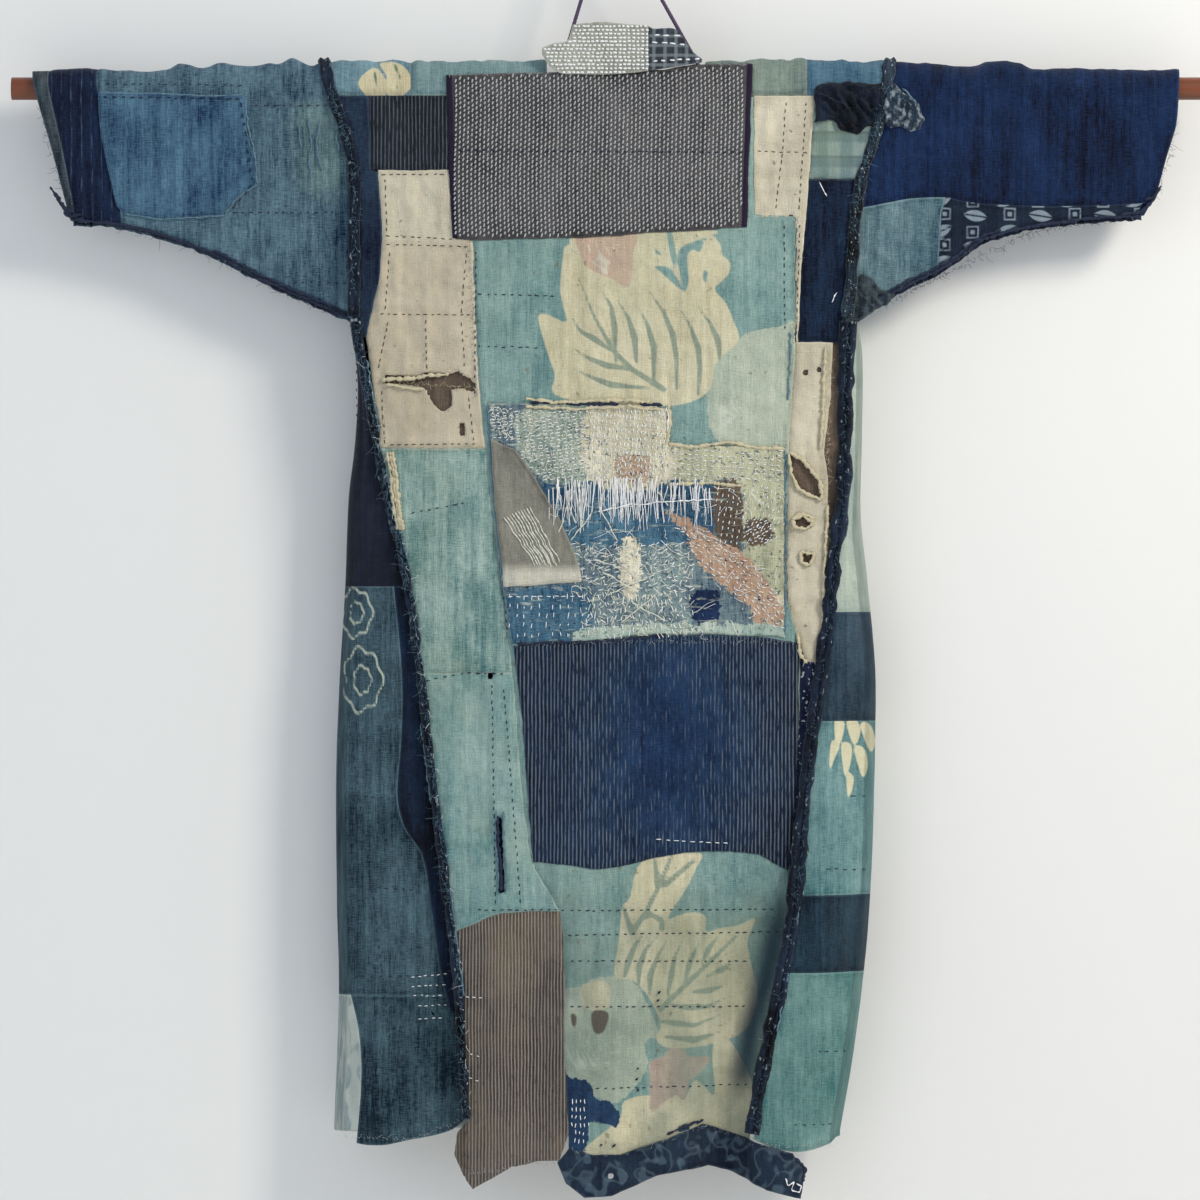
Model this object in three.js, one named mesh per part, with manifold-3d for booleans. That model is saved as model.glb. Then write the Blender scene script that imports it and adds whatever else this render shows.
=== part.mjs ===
// A patched boro coat, inside out, hung flat by its sleeves on a wooden rod that a cord carries.
// Millimetres, +Z up. The origin is where a nail carries the cord. The coat's back looks along -Y.
// Inside COAT, z = 0 is the rod's axis, so a height there is a drop below the rod.
import * as THREE from "three";
import { mergeVertices } from "three/addons/utils/BufferGeometryUtils.js";
import Module from "manifold-3d";

const wasm = await Module();
wasm.setup();

// ---------------------------------------------------------------- driving dimensions

const CLOTH = 2; // thickness of a layer, itself several thin cottons quilted together
const LAYER_GAP = 0.4; // air between a patch and the panel under it
const SEAM_GAP = 0.4; // between panels sewn edge to edge
const PITCH = CLOTH + LAYER_GAP;
const ROD_RADIUS = 12.5;
const ROD_LENGTH = 1326;
const ROD_DROP = 184; // from the nail to the rod's axis
const CORD_DIAMETER = 4.5;
const CORD_TIES = [-58, 100]; // where the cord is tied to the rod
const FOLD_DEPTH = 19.5; // the cloth's outer face in front of and behind the rod
const SHOULDER_TOP = 31;
const YOKE_DROP = -9; // the lower edge of the shoulder strips
const BEND = 51; // sheets and long edges bend only at multiples of this height
const ARMPIT = -5 * BEND;
const SEAM_HALF = 2; // half the thickness of a raw seam's edges
const SEAM_CLEAR = SEAM_HALF + SEAM_GAP;
const SEAM_STAND = 9; // how far the raw edges stand out of the cloth
const FRONT_SEAM = 105; // from the middle to each front panel's inner seam
const FRONT_EDGE = 6; // from the middle to each front edge
const FRONT_HEM = -1158;

// ---------------------------------------------------------------- curves

// A smooth curve through [at, value] pairs, as a function of at.
function through(pairs) {
  const p = [...pairs].sort((a, b) => a[0] - b[0]);
  const slope = (i) => {
    const a = p[Math.max(i - 1, 0)];
    const b = p[Math.min(i + 1, p.length - 1)];
    return (b[1] - a[1]) / (b[0] - a[0]);
  };
  return (at) => {
    if (at <= p[0][0]) return p[0][1];
    if (at >= p[p.length - 1][0]) return p[p.length - 1][1];
    const i = p.findIndex((q) => q[0] > at) - 1;
    const span = p[i + 1][0] - p[i][0];
    const t = (at - p[i][0]) / span;
    const rise = p[i + 1][1] - p[i][1];
    const swing = span * (slope(i) * (1 - t) - slope(i + 1) * t);
    return p[i][1] + rise * t * t * (3 - 2 * t) + swing * t * (1 - t);
  };
}

const lerp = THREE.MathUtils.lerp;
const steps = (from, to, count) => Array.from({ length: count + 1 }, (_, i) => lerp(from, to, i / count));
// The same curve in straight runs between the bend heights, so that neighbours share their corners.
function chain(pairs) {
  const smooth = through(pairs);
  return (z) => {
    const run = Math.floor(z / BEND);
    return lerp(smooth(run * BEND), smooth((run + 1) * BEND), z / BEND - run);
  };
}
// Two heights, top first, and every bend height between them.
function heights(top, bottom) {
  const first = Math.ceil(top / BEND - 1e-6) - 1;
  const last = Math.floor(bottom / BEND + 1e-6) + 1;
  const between = Array.from({ length: Math.max(0, first - last + 1) }, (_, i) => (first - i) * BEND);
  return [top, ...between, bottom];
}
const back = (points) => [...points].reverse();
const swell = (distance, width) => Math.exp(-((distance / width) ** 2));

// The armholes run into the side seams: x at each height.
const leftSeam = chain([
  [51, -320], [0, -311], [-51, -293], [-102, -284], [ARMPIT, -283], [-330, -270], [-440, -250],
  [-520, -230], [-620, -214], [-740, -200], [-900, -180], [-1000, -168], [-1140, -160],
]);
const rightSeam = chain([
  [51, 312], [0, 302], [-51, 291], [-102, 274], [-153, 268], [-300, 258], [-440, 255], [-520, 245],
  [-600, 237], [-700, 222], [-800, 210], [-900, 200], [-1000, 183], [-1100, 162], [-1160, 152],
]);
// The coat's outer edges below the armpits.
const leftSide = chain([
  [ARMPIT, -291], [-300, -283], [-340, -281], [-400, -285], [-450, -291], [-550, -295], [-650, -301],
  [-760, -305], [-900, -304], [-1000, -302], [-1140, -307],
]);
const rightSide = chain([
  [ARMPIT, 272], [-300, 277], [-400, 276], [-470, 275], [-540, 282], [-640, 291], [-720, 291],
  [-860, 287], [-960, 280], [-1070, 266], [-1150, 252],
]);

// How far the back's outer face stands in front of the rod's axis: it bellies out towards the hem,
// rolls away at the seams, and hangs in a few long folds.
const belly = through([[0, FOLD_DEPTH], [-60, FOLD_DEPTH], [-260, 23], [-600, 34], [-900, 48], [-1220, 60]]);
const rollOff = through([[-60, 0], [-300, 4], [-600, 9], [-1220, 12]]);
const foldDepth = through([[-450, 0], [-860, 8], [-1220, 13]]);
const deepFold = through([[-780, 0], [-900, 12], [-1000, 22], [-1220, 18]]);
function backDepth(x, z) {
  const middle = (leftSeam(z) + rightSeam(z)) / 2;
  const across = (x - middle) / ((rightSeam(z) - leftSeam(z)) / 2);
  const folds =
    swell(x + 30, 45) - 0.8 * swell(x - 95, 48) + 0.5 * swell(x + 125, 34) - 0.6 * swell(x + 80, 20);
  const underSeam = swell(x - rightSeam(z) + 30, 30);
  return belly(z) - rollOff(z) * across ** 4 + foldDepth(z) * folds - deepFold(z) * underSeam;
}
// The fronts hang behind the rod, almost flat, with their outer face towards the wall.
const frontLift = through([[0, FOLD_DEPTH], [-300, 19], [-700, 21], [-1160, 24]]);
function frontDepth(x, z) {
  const ripple = Math.sin(x / 38 + 0.6) * through([[-300, 0], [-1160, 2.5]])(z);
  return frontLift(z) + ripple;
}

// ---------------------------------------------------------------- solids

// A manifold-3d solid from a closed three.js geometry.
function solidOf(geometry) {
  const bare = geometry.clone();
  bare.deleteAttribute("normal");
  bare.deleteAttribute("uv");
  const merged = mergeVertices(bare, 1e-3);
  const mesh = new wasm.Mesh({
    numProp: 3,
    vertProperties: merged.attributes.position.array,
    triVerts: new Uint32Array(merged.index.array),
  });
  return new wasm.Manifold(mesh);
}

function geometryOf(solid) {
  const mesh = solid.getMesh();
  const geometry = new THREE.BufferGeometry();
  geometry.setAttribute("position", new THREE.BufferAttribute(mesh.vertProperties, 3));
  geometry.setIndex(new THREE.BufferAttribute(mesh.triVerts, 1));
  return geometry;
}

// A closed wall between two grids of points with the same rows and columns.
// Seen from the outer grid's side, its rows run down and its columns run to the right.
function wall(outer, inner) {
  const rows = outer.length;
  const columns = outer[0].length;
  const positions = [...outer.flat(), ...inner.flat()].flatMap((p) => [p.x, p.y, p.z]);
  const index = [];
  const out = (i, j) => i * columns + j;
  const back = (i, j) => rows * columns + i * columns + j;
  const quad = (a, b, c, d) => index.push(a, b, c, a, c, d);
  for (let i = 0; i + 1 < rows; i += 1) {
    for (let j = 0; j + 1 < columns; j += 1) {
      quad(out(i, j), out(i + 1, j), out(i + 1, j + 1), out(i, j + 1));
      quad(back(i, j), back(i, j + 1), back(i + 1, j + 1), back(i + 1, j));
    }
    quad(out(i, 0), back(i, 0), back(i + 1, 0), out(i + 1, 0));
    quad(out(i + 1, columns - 1), back(i + 1, columns - 1), back(i, columns - 1), out(i, columns - 1));
  }
  for (let j = 0; j + 1 < columns; j += 1) {
    quad(out(0, j + 1), back(0, j + 1), back(0, j), out(0, j));
    quad(out(rows - 1, j), back(rows - 1, j), back(rows - 1, j + 1), out(rows - 1, j + 1));
  }
  const geometry = new THREE.BufferGeometry();
  geometry.setAttribute("position", new THREE.Float32BufferAttribute(positions, 3));
  geometry.setIndex(index);
  return geometry;
}

// One closed sheet under every piece of a layer, so that pieces of neighbouring layers nest.
const SHEET_X = steps(-320, 320, 11);
const SHEET_Z = heights(34, -24 * BEND);
function sheet(depthAt, side, layer) {
  const point = (x, z, lift) => new THREE.Vector3(x, side * (depthAt(x, z) + lift), z);
  const across = side < 0 ? SHEET_X : [...SHEET_X].reverse();
  const grid = (lift) => SHEET_Z.map((z) => across.map((x) => point(x, z, lift)));
  return solidOf(wall(grid(layer * PITCH), grid(layer * PITCH - CLOTH)));
}
const BACK_SHEETS = [0, 1, 2].map((layer) => sheet(backDepth, -1, layer));
const FRONT_SHEET = sheet(frontDepth, 1, 0);

// Moves an outline's points in by half a seam gap, along the mean of its two edges' normals.
function inset(outline, by) {
  const signed = outline.reduce((sum, [x, z], i) => {
    const [nx, nz] = outline[(i + 1) % outline.length];
    return sum + x * nz - nx * z;
  }, 0);
  const turn = Math.sign(signed);
  return outline.map(([x, z], i) => {
    const before = outline[(i + outline.length - 1) % outline.length];
    const after = outline[(i + 1) % outline.length];
    const first = new THREE.Vector2(x - before[0], z - before[1]).normalize();
    const second = new THREE.Vector2(after[0] - x, after[1] - z).normalize();
    const normal = new THREE.Vector2(-first.y - second.y, first.x + second.x).normalize();
    const reach = by / Math.max(0.4, Math.abs(normal.dot(new THREE.Vector2(-first.y, first.x))));
    return [x + turn * normal.x * reach, z + turn * normal.y * reach];
  });
}

// A block with an outline of [x, z] points, on the back's side of the rod or on the wall's.
// Each reaches 1 mm past the middle, so that two of them join.
function block(outline, side) {
  const shape = new THREE.Shape(inset(outline, SEAM_GAP / 2).map(([x, z]) => new THREE.Vector2(x, z)));
  const prism = new THREE.ExtrudeGeometry(shape, { depth: 201, bevelEnabled: false });
  return solidOf(prism.rotateX(Math.PI / 2).translate(0, side < 0 ? 1 : 200, 0));
}
const cutFrom = (cloth, outline, side = -1) => geometryOf(cloth.intersect(block(outline, side)));


// The corners of an edge between two heights, top first, moved sideways.
const along = (edge, top, bottom, aside = 0) => heights(top, bottom).map((z) => [edge(z) + aside, z]);

// ---------------------------------------------------------------- colours

const INK = 0x1b2138;
const NAVY = 0x24355c;
const INDIGO = 0x3b5673;
const SLATE = 0x3c4a58;
const FADED = 0x6587a0;
const TEAL = 0x7fa3a2;
const PALE = 0xa9b6ad;
const CREAM = 0xcfc4a6;
const BROWN = 0x6c5d50;
const GREY = 0x7d7f84;
const WOOD = 0x6e3a1e;
const PLUM = 0x3a2f45;
const OFF_WHITE = 0xc9cac0;

const COAT = new THREE.Group();
COAT.position.z = -ROD_DROP;

function add(name, geometry, colour, roughness = 0.95) {
  const material = new THREE.MeshStandardMaterial({ color: colour, roughness, metalness: 0 });
  const mesh = new THREE.Mesh(geometry, material);
  mesh.name = name;
  COAT.add(mesh);
}

// ---------------------------------------------------------------- rod and cord

add("rod", new THREE.CylinderGeometry(ROD_RADIUS, ROD_RADIUS, ROD_LENGTH, 24).rotateZ(Math.PI / 2), WOOD, 0.35);

// The cord leaves the rod's top at one tie, turns over the nail and comes down to the other.
const NAIL_TURN = 10; // radius of the cord's middle where it turns over the nail
function cordPath() {
  const foot = ROD_RADIUS + CORD_DIAMETER + 1; // clear of the tie, as the leg leans
  const crown = ROD_DROP + CORD_DIAMETER / 2 - NAIL_TURN;
  const centre = new THREE.Vector2(0, crown);
  const legs = CORD_TIES.map((x) => {
    const start = new THREE.Vector2(x, foot);
    const reach = centre.clone().sub(start);
    const lean = Math.sign(x) * Math.asin(NAIL_TURN / reach.length());
    const touch = Math.atan2(reach.y, reach.x) - lean + (Math.sign(x) * -Math.PI) / 2;
    return { start, touch };
  });
  const path = new THREE.CurvePath();
  const at = (angle) => new THREE.Vector3(centre.x + NAIL_TURN * Math.cos(angle), 0, centre.y + NAIL_TURN * Math.sin(angle));
  const [left, right] = legs;
  const arc = steps(left.touch, right.touch, 10).map(at);
  const first = new THREE.Vector3(left.start.x, 0, left.start.y);
  const last = new THREE.Vector3(right.start.x, 0, right.start.y);
  [first, ...arc, last].reduce((a, b) => {
    path.add(new THREE.LineCurve3(a, b));
    return b;
  });
  return path;
}
const cordSection = new THREE.Shape().absarc(0, 0, CORD_DIAMETER / 2, 0, 2 * Math.PI);
const cordTube = new THREE.ExtrudeGeometry(cordSection, { curveSegments: 4, steps: 44, extrudePath: cordPath() });
add("cord", cordTube, PLUM, 0.8);

// Each tie is the cord's few turns round the rod, as one ring.
CORD_TIES.forEach((x, i) => {
  const inside = ROD_RADIUS + LAYER_GAP;
  const outside = ROD_RADIUS + CORD_DIAMETER - LAYER_GAP;
  const half = 1.5 * CORD_DIAMETER;
  const profile = [[inside, -half], [outside, -half], [outside, half], [inside, half], [inside, -half]];
  const ring = new THREE.LatheGeometry(profile.map(([r, h]) => new THREE.Vector2(r, h)), 20);
  add(i === 0 ? "cord_tie_left" : "cord_tie_right", ring.rotateZ(-Math.PI / 2).translate(x, 0, 0), PLUM, 0.8);
});

// ---------------------------------------------------------------- shoulders

// A strip folded over the rod: down the back, over the top and down the front.
const FOLD_ANGLES = steps(-90, 90, 10).map(THREE.MathUtils.degToRad);
function shoulderStrip(xFrom, xTo, wallDrop = YOKE_DROP) {
  const section = (thin) => {
    const arc = FOLD_ANGLES.map((a) => [(FOLD_DEPTH - thin) * Math.sin(a), (SHOULDER_TOP - thin) * Math.cos(a)]);
    return [[-FOLD_DEPTH + thin, YOKE_DROP], ...arc, [FOLD_DEPTH - thin, wallDrop]];
  };
  const columns = steps(0, 1, 2);
  const grid = (thin) =>
    back(section(thin)).map(([y, z]) => columns.map((t) => new THREE.Vector3(lerp(xFrom(z), xTo(z), t), y, z)));
  return wall(grid(0), grid(CLOTH));
}
const NECK_LEFT = -82;
const NECK_RIGHT = 103;
const atX = (x) => () => x;
const printEnd = -222;
const paleEnd = 215;
const leftArm = (z) => leftSeam(z) + SEAM_CLEAR;
const rightArm = (z) => rightSeam(z) - SEAM_CLEAR;
add("shoulder_left_print", shoulderStrip(leftArm, atX(printEnd)), FADED);
add("shoulder_left_teal", shoulderStrip(atX(printEnd + SEAM_GAP), atX(NECK_LEFT)), TEAL);
add("shoulder_right_pale", shoulderStrip(atX(NECK_RIGHT), atX(paleEnd)), PALE);
add("shoulder_right_blue", shoulderStrip(atX(paleEnd + SEAM_GAP), rightArm), FADED);

// ---------------------------------------------------------------- the back's panels

const onBack = (name, layer, outline, colour) => add(name, cutFrom(BACK_SHEETS[layer], outline), colour);

// The middle panel's two edges, and its own upper end under the collar.
const NECK_HEIGHT = 16;
const middleLeft = chain([
  [0, -158], [-150, -154], [-300, -148], [-400, -140], [-520, -125],
  [-640, -110], [-850, -88], [-910, -57], [-1060, -52], [-1165, -47],
]);
const middleRight = chain([
  [-140, 203], [-280, 202], [-400, 195], [-560, 192], [-620, 207], [-860, 196],
]);
const middleHem = [[150, -1165], [100, -1148], [50, -1160], [0, -1178], [-47, -1172]];
onBack("back_middle", 0, [
  [NECK_LEFT + 2, NECK_HEIGHT], [NECK_LEFT + 2, YOKE_DROP],
  ...along(middleLeft, YOKE_DROP, -1165),
  ...back(middleHem),
  ...back(along(rightSeam, -880, -1150, -SEAM_CLEAR)),
  ...back(along(middleRight, -142, -860)),
  [156, -142], [156, YOKE_DROP], [NECK_RIGHT - 3, YOKE_DROP], [NECK_RIGHT - 3, NECK_HEIGHT],
], TEAL);

// The left strip, from the shoulder to the hem.
const pinstripeLeft = -268;
const beigeTop = -91;
onBack("back_left_navy", 0, [
  ...along(leftArm, YOKE_DROP, -262),
  [-264, -262], [-262, beigeTop], [-268, beigeTop], [pinstripeLeft, YOKE_DROP],
], NAVY);
onBack("back_left_pinstripe", 0, [
  [pinstripeLeft, YOKE_DROP], [pinstripeLeft, beigeTop], ...back(along(middleLeft, YOKE_DROP, beigeTop)),
], INK);
const beigeFoot = -398;
onBack("back_left_beige", 0, [
  [-262, beigeTop], [-264, -262], ...along(leftArm, -262, beigeFoot),
  ...back(along(middleLeft, beigeTop, beigeFoot)),
], CREAM);
const tealSeam = -645;
onBack("back_left_teal_upper", 0, [
  ...along(leftArm, beigeFoot, tealSeam), ...back(along(middleLeft, beigeFoot, tealSeam)),
], TEAL);
const brownTop = [-120, -908];
const brownCorner = -906;
onBack("back_left_teal_lower", 0, [
  ...along(leftArm, tealSeam, -930), brownTop, ...back(along(middleLeft, tealSeam, brownCorner)),
], TEAL);
onBack("back_left_brown_stripe", 0, [
  ...along(leftArm, -930, -1138),
  [-172, -1146], [-174, -1175], [-165, -1196], [-153, -1211], [-110, -1186], [-85, -1181], [-62, -1178],
  ...back(along(middleLeft, brownCorner, -1165)),
  brownTop,
], BROWN);

// The right strip tapers to nothing under the striped patch.
onBack("back_right_beige", 0, [
  [156, YOKE_DROP], [156, -142], ...along(middleRight, -142, -281),
  [205, -281], [209, -200], [217, -100], [224, YOKE_DROP],
], CREAM);
onBack("back_right_plaid", 0, [
  [224, YOKE_DROP], [217, -101], ...back(along(rightArm, YOKE_DROP, -101)),
], PALE);
onBack("back_right_navy", 0, [
  [217, -101], [209, -200], [205, -281], ...back(along(rightArm, -101, -281)),
], NAVY);
const tornFoot = -632;
onBack("back_right_beige_torn", 0, [
  ...along(middleRight, -281, -600), [209, -625], [214, tornFoot], [228, tornFoot], [233, -600],
  [238, -500], [236, -440], [241, -340], [243, -281],
], CREAM);
onBack("back_right_brown", 0, [
  [243, -281], [241, -340], [236, -440], [238, -500], [233, -600],
  ...back(along(rightArm, -281, -600)),
], BROWN);
onBack("back_right_specked", 0, [
  [228, tornFoot], [214, tornFoot], ...along(middleRight, -645, -860), ...back(along(rightArm, tornFoot, -870)),
], INK);

// ---------------------------------------------------------------- patches on the back

onBack("patch_sashiko", 1, [
  [-183, 14], [-180, -80], [-176, -167], [-150, -169], [-35, -166], [60, -160], [149, -154],
  [152, -60], [155, 26], [90, 25], [60, 20], [0, 16], [-60, 16],
], GREY);
onBack("patch_stitched", 1, [
  [-137, -348], [-132, -440], [-122, -540], [-110, -613], [-20, -610], [40, -603], [100, -602], [190, -606],
  [190, -560], [190, -398], [60, -395], [58, -350],
], OFF_WHITE);
onBack("patch_grey", 2, [
  [-134, -387], [-130, -450], [-122, -520], [-119, -551], [-75, -548], [-34, -546], [-33, -538],
  [-46, -500], [-62, -468], [-86, -428], [-106, -400],
], GREY);
onBack("patch_striped", 1, [
  [-108, -615], [-98, -700], [-92, -790], [-87, -852], [-50, -855], [-22, -860], [10, -857], [45, -848],
  [80, -842], [130, -841], [160, -845], [182, -853], [193, -862], [198, -845], [202, -780], [205, -700],
  [206, -612], [150, -604], [100, -602.8], [40, -604], [-20, -611], [-60, -612],
], NAVY);
onBack("hem_band", 1, [
  [-47, -1164], [-20, -1172], [10, -1172], [60, -1156], [100, -1140], [150, -1157], [198, -1171],
  [212, -1198], [200, -1218], [170, -1212], [130, -1192], [105, -1187], [50, -1196], [20, -1208],
  [0, -1217], [-30, -1218], [-50, -1204], [-62, -1188], [-58, -1176],
], NAVY);
onBack("patch_torn_navy", 1, [
  [226, -2], [226, -38], [243, -40], [255, -50], [278, -48], [286, -40], [291, -20], [294, -2], [262, 4],
], INK);

// ---------------------------------------------------------------- fronts, towards the wall

const onFront = (name, outline, colour) => add(name, cutFrom(FRONT_SHEET, outline, 1), colour);
const MIRROR = ([x, z]) => [-x, z];
const COLLAR_END = -500;
// Where the collar is sewn to a left front, and its free edge.
const collarSeam = [[-82, YOKE_DROP], [-52, -256]];
const collarSeamLow = [[-52, -262], [-50, COLLAR_END]];
const collarFree = [[-38, YOKE_DROP], [-FRONT_EDGE, -200], [-FRONT_EDGE, COLLAR_END]];
function fronts(side, arm, colours) {
  const flip = side === "left" ? (points) => points : (points) => points.map(MIRROR);
  onFront(`front_${side}_upper`, [
    ...along(arm, YOKE_DROP, ARMPIT - 6), ...flip([[-52, ARMPIT - 6]]), ...flip(back(collarSeam)),
  ], colours[0]);
  onFront(`front_${side}_overlap`, flip([
    [-FRONT_SEAM, ARMPIT - 6], [-FRONT_SEAM, FRONT_HEM], [-FRONT_EDGE, FRONT_HEM], [-FRONT_EDGE, COLLAR_END],
    ...back(collarSeamLow),
  ]), colours[1]);
  onFront(`collar_front_${side}`, flip([...collarSeam, ...collarSeamLow, ...back(collarFree)]), colours[2]);
}
fronts("left", leftArm, [INDIGO, SLATE, INK]);
fronts("right", rightArm, [FADED, INDIGO, INK]);

// ---------------------------------------------------------------- sides, wrapped round from back to front

// One side's cloth at a height: u 0 to 1 runs from the seam to the outer edge, 1 to 2 turns round it,
// and 2 to 3 runs along the wall to the front's seam. Gives the outer face and the way that it looks.
function sideCloth(seam, edge, direction, depthAtSeam, depthAtEdge) {
  return (u, z) => {
    const start = seam(z) + direction * SEAM_CLEAR;
    const room = Math.abs(edge(z) - start);
    const turn = Math.min(12, 0.45 * room);
    const wallFace = frontDepth(edge(z), z);
    const nearFace = depthAtEdge(z);
    if (u <= 1) {
      const x = lerp(start, edge(z) - direction * turn, u);
      const depth = lerp(depthAtSeam(z), nearFace, u * u) + 0.05 * room * Math.sin(Math.PI * u);
      return { point: new THREE.Vector3(x, -depth, z), out: new THREE.Vector3(0, -1, 0) };
    }
    if (u <= 2) {
      const angle = (u - 1.5) * Math.PI;
      const half = (wallFace + nearFace) / 2;
      const x = edge(z) - direction * turn * (1 - Math.cos(angle));
      const point = new THREE.Vector3(x, wallFace - half + half * Math.sin(angle), z);
      return { point, out: new THREE.Vector3(direction * Math.cos(angle), Math.sin(angle), 0) };
    }
    const x = lerp(edge(z) - direction * turn, direction * (FRONT_SEAM + SEAM_GAP), u - 2);
    return { point: new THREE.Vector3(x, frontDepth(x, z), z), out: new THREE.Vector3(0, 1, 0) };
  };
}
const leftCloth = sideCloth(
  leftSeam, leftSide, -1,
  through([[ARMPIT, 14], [-600, 20], [-900, 24], [-1160, 30]]),
  through([[ARMPIT, 8], [-600, 9], [-1160, 12]]),
);
const rightCloth = sideCloth(
  rightSeam, rightSide, 1,
  through([[ARMPIT, 22], [-600, 33], [-900, 50], [-1160, 58]]),
  through([[ARMPIT, 8], [-600, 11], [-1160, 22]]),
);

// One closed sheet for a whole side, which its pieces are cut from.
const ALL_ROUND = [0, 0.5, 1, 1.25, 1.5, 1.75, 2, 2.5, 3];
function sideSheet(cloth, direction) {
  const across = direction < 0 ? back(ALL_ROUND) : ALL_ROUND;
  const place = (u, z, thin) => {
    const { point, out } = cloth(u, z);
    return point.addScaledVector(out, -thin);
  };
  const grid = (thin) => heights(-4 * BEND, -24 * BEND).map((z) => across.map((u) => place(u, z, thin)));
  return solidOf(wall(grid(0), grid(CLOTH)));
}
const LEFT_SHEET = sideSheet(leftCloth, -1);
const RIGHT_SHEET = sideSheet(rightCloth, 1);

// A piece of a side has one outline on the back's half and one on the wall's.
function addSide(name, cloth, backOutline, wallOutline, colour) {
  const blocks = block(backOutline, -1).add(block(wallOutline, 1));
  add(name, geometryOf(cloth.intersect(blocks)), colour);
}
const OUTSIDE = 400; // past the coat on both sides
const level = (top, bottom) => [[-OUTSIDE, top], [-OUTSIDE, bottom], [OUTSIDE, bottom], [OUTSIDE, top]];

const SIDE_TOP = ARMPIT - 6;
const blackFoot = -550;
// The indigo panel's edge, which leaves a navy strip beside the seam that ends in a point.
const indigoEdge = [
  [-240, blackFoot], [-231, -650], [-232, -720], [-236, -780], [-228, -815], [-209, -845], [-199, -900],
  [-189, -970], [-177, -1020],
];
const paleTop = -1000;
const paleEdge = [[-286, paleTop], [-277, -1040], [-274, -1090], [-281, -1170]];
const nearSeam = (top, bottom) => along(leftSeam, top, bottom, 4 - SEAM_CLEAR);
addSide("side_left_black", LEFT_SHEET, level(SIDE_TOP, blackFoot), level(SIDE_TOP, blackFoot), INK);
add("side_left_strip", cutFrom(LEFT_SHEET, [...indigoEdge, ...back(nearSeam(blackFoot, -1020))]), NAVY);
addSide("side_left_indigo", LEFT_SHEET, [
  ...indigoEdge, ...nearSeam(-1020, -1132), [-172, -1147], [-205, -1157], [-250, -1165], [-281, -1162],
  ...back(paleEdge.slice(0, -1)), [-OUTSIDE, paleTop], [-OUTSIDE, blackFoot],
], level(blackFoot, paleTop), INDIGO);
addSide("side_left_pale", LEFT_SHEET, [
  [-OUTSIDE, paleTop], ...paleEdge.slice(0, -1), [-281, -1162], [-298, -1158], [-310, -1146], [-OUTSIDE, -1146],
], [
  [-OUTSIDE, paleTop], [-OUTSIDE, -1146], [-290, -1152], [-FRONT_SEAM, FRONT_HEM], [0, FRONT_HEM], [0, paleTop],
], PALE);

let bandTop = SIDE_TOP;
[
  ["side_right_pale", -578, PALE],
  ["side_right_slate", -698, SLATE],
  ["side_right_flower", -889, TEAL],
  ["side_right_navy", -974, NAVY],
].forEach(([name, foot, colour]) => {
  addSide(name, RIGHT_SHEET, level(bandTop, foot), level(bandTop, foot), colour);
  bandTop = foot;
});
addSide("side_right_teal", RIGHT_SHEET, [
  [0, bandTop], [0, -1158], [155, -1159], [200, -1172], [225, -1173], [243, -1166], [OUTSIDE, -1150], [OUTSIDE, bandTop],
], [
  [0, bandTop], [0, FRONT_HEM], [FRONT_SEAM, FRONT_HEM], [235, -1152], [OUTSIDE, -1150], [OUTSIDE, bandTop],
], TEAL);

// ---------------------------------------------------------------- sleeves

// A sleeve folded over the rod. s runs from the cuff to the armhole; u runs from the lower edge of the
// back (-1) over the top (0) to the lower edge of the front (1).
const FOLD_SHARE = 0.25;
function sleeveCloth({ cuff, armhole, top, bottom }) {
  const footDepth = SEAM_HALF + SEAM_GAP + CLOTH;
  return (s, u) => {
    const side = Math.sign(u) || 1;
    const reach = Math.abs(u);
    const bent = reach < FOLD_SHARE;
    const angle = (reach / FOLD_SHARE) * (Math.PI / 2);
    const share = (reach - FOLD_SHARE) / (1 - FOLD_SHARE);
    const z = bent ? top(s) * Math.cos(angle) : lerp(0, bottom(s), share);
    const depth = bent ? FOLD_DEPTH * Math.sin(angle) : lerp(FOLD_DEPTH, footDepth, share ** 1.5);
    const out = bent ? new THREE.Vector3(0, side * Math.sin(angle), Math.cos(angle)) : new THREE.Vector3(0, side, 0);
    const height = Math.max(z, bottom(s));
    return { point: new THREE.Vector3(lerp(cuff(height), armhole(height), s), side * depth, z), out };
  };
}
const leftSleeve = sleeveCloth({
  cuff: through([[22, -640], [0, -637], [-60, -620], [-110, -607], [-150, -597]]),
  armhole: (z) => leftSeam(z) - SEAM_CLEAR,
  top: through([[0, 20], [0.4, 23], [0.65, 27], [0.85, 32], [1, 31]]),
  bottom: through([[0, -146], [0.2, -152], [0.45, -176], [0.7, -214], [1, ARMPIT]]),
});
const rightSleeve = sleeveCloth({
  cuff: through([[22, 626], [-40, 622], [-75, 612], [-118, 600], [-140, 588]]),
  armhole: (z) => rightSeam(z) + SEAM_CLEAR,
  top: through([[0, 21], [0.5, 23], [0.62, 30], [0.75, 24], [1, 30]]),
  bottom: through([[0, -140], [0.3, -148], [0.55, -166], [0.68, -196], [0.85, -224], [1, ARMPIT]]),
});
const HALF_ROUND = [0.08, 0.17, ...steps(FOLD_SHARE, 1, 5)];
const SLEEVE_U = [...back(HALF_ROUND).map((u) => -u), 0, ...HALF_ROUND];
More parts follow.
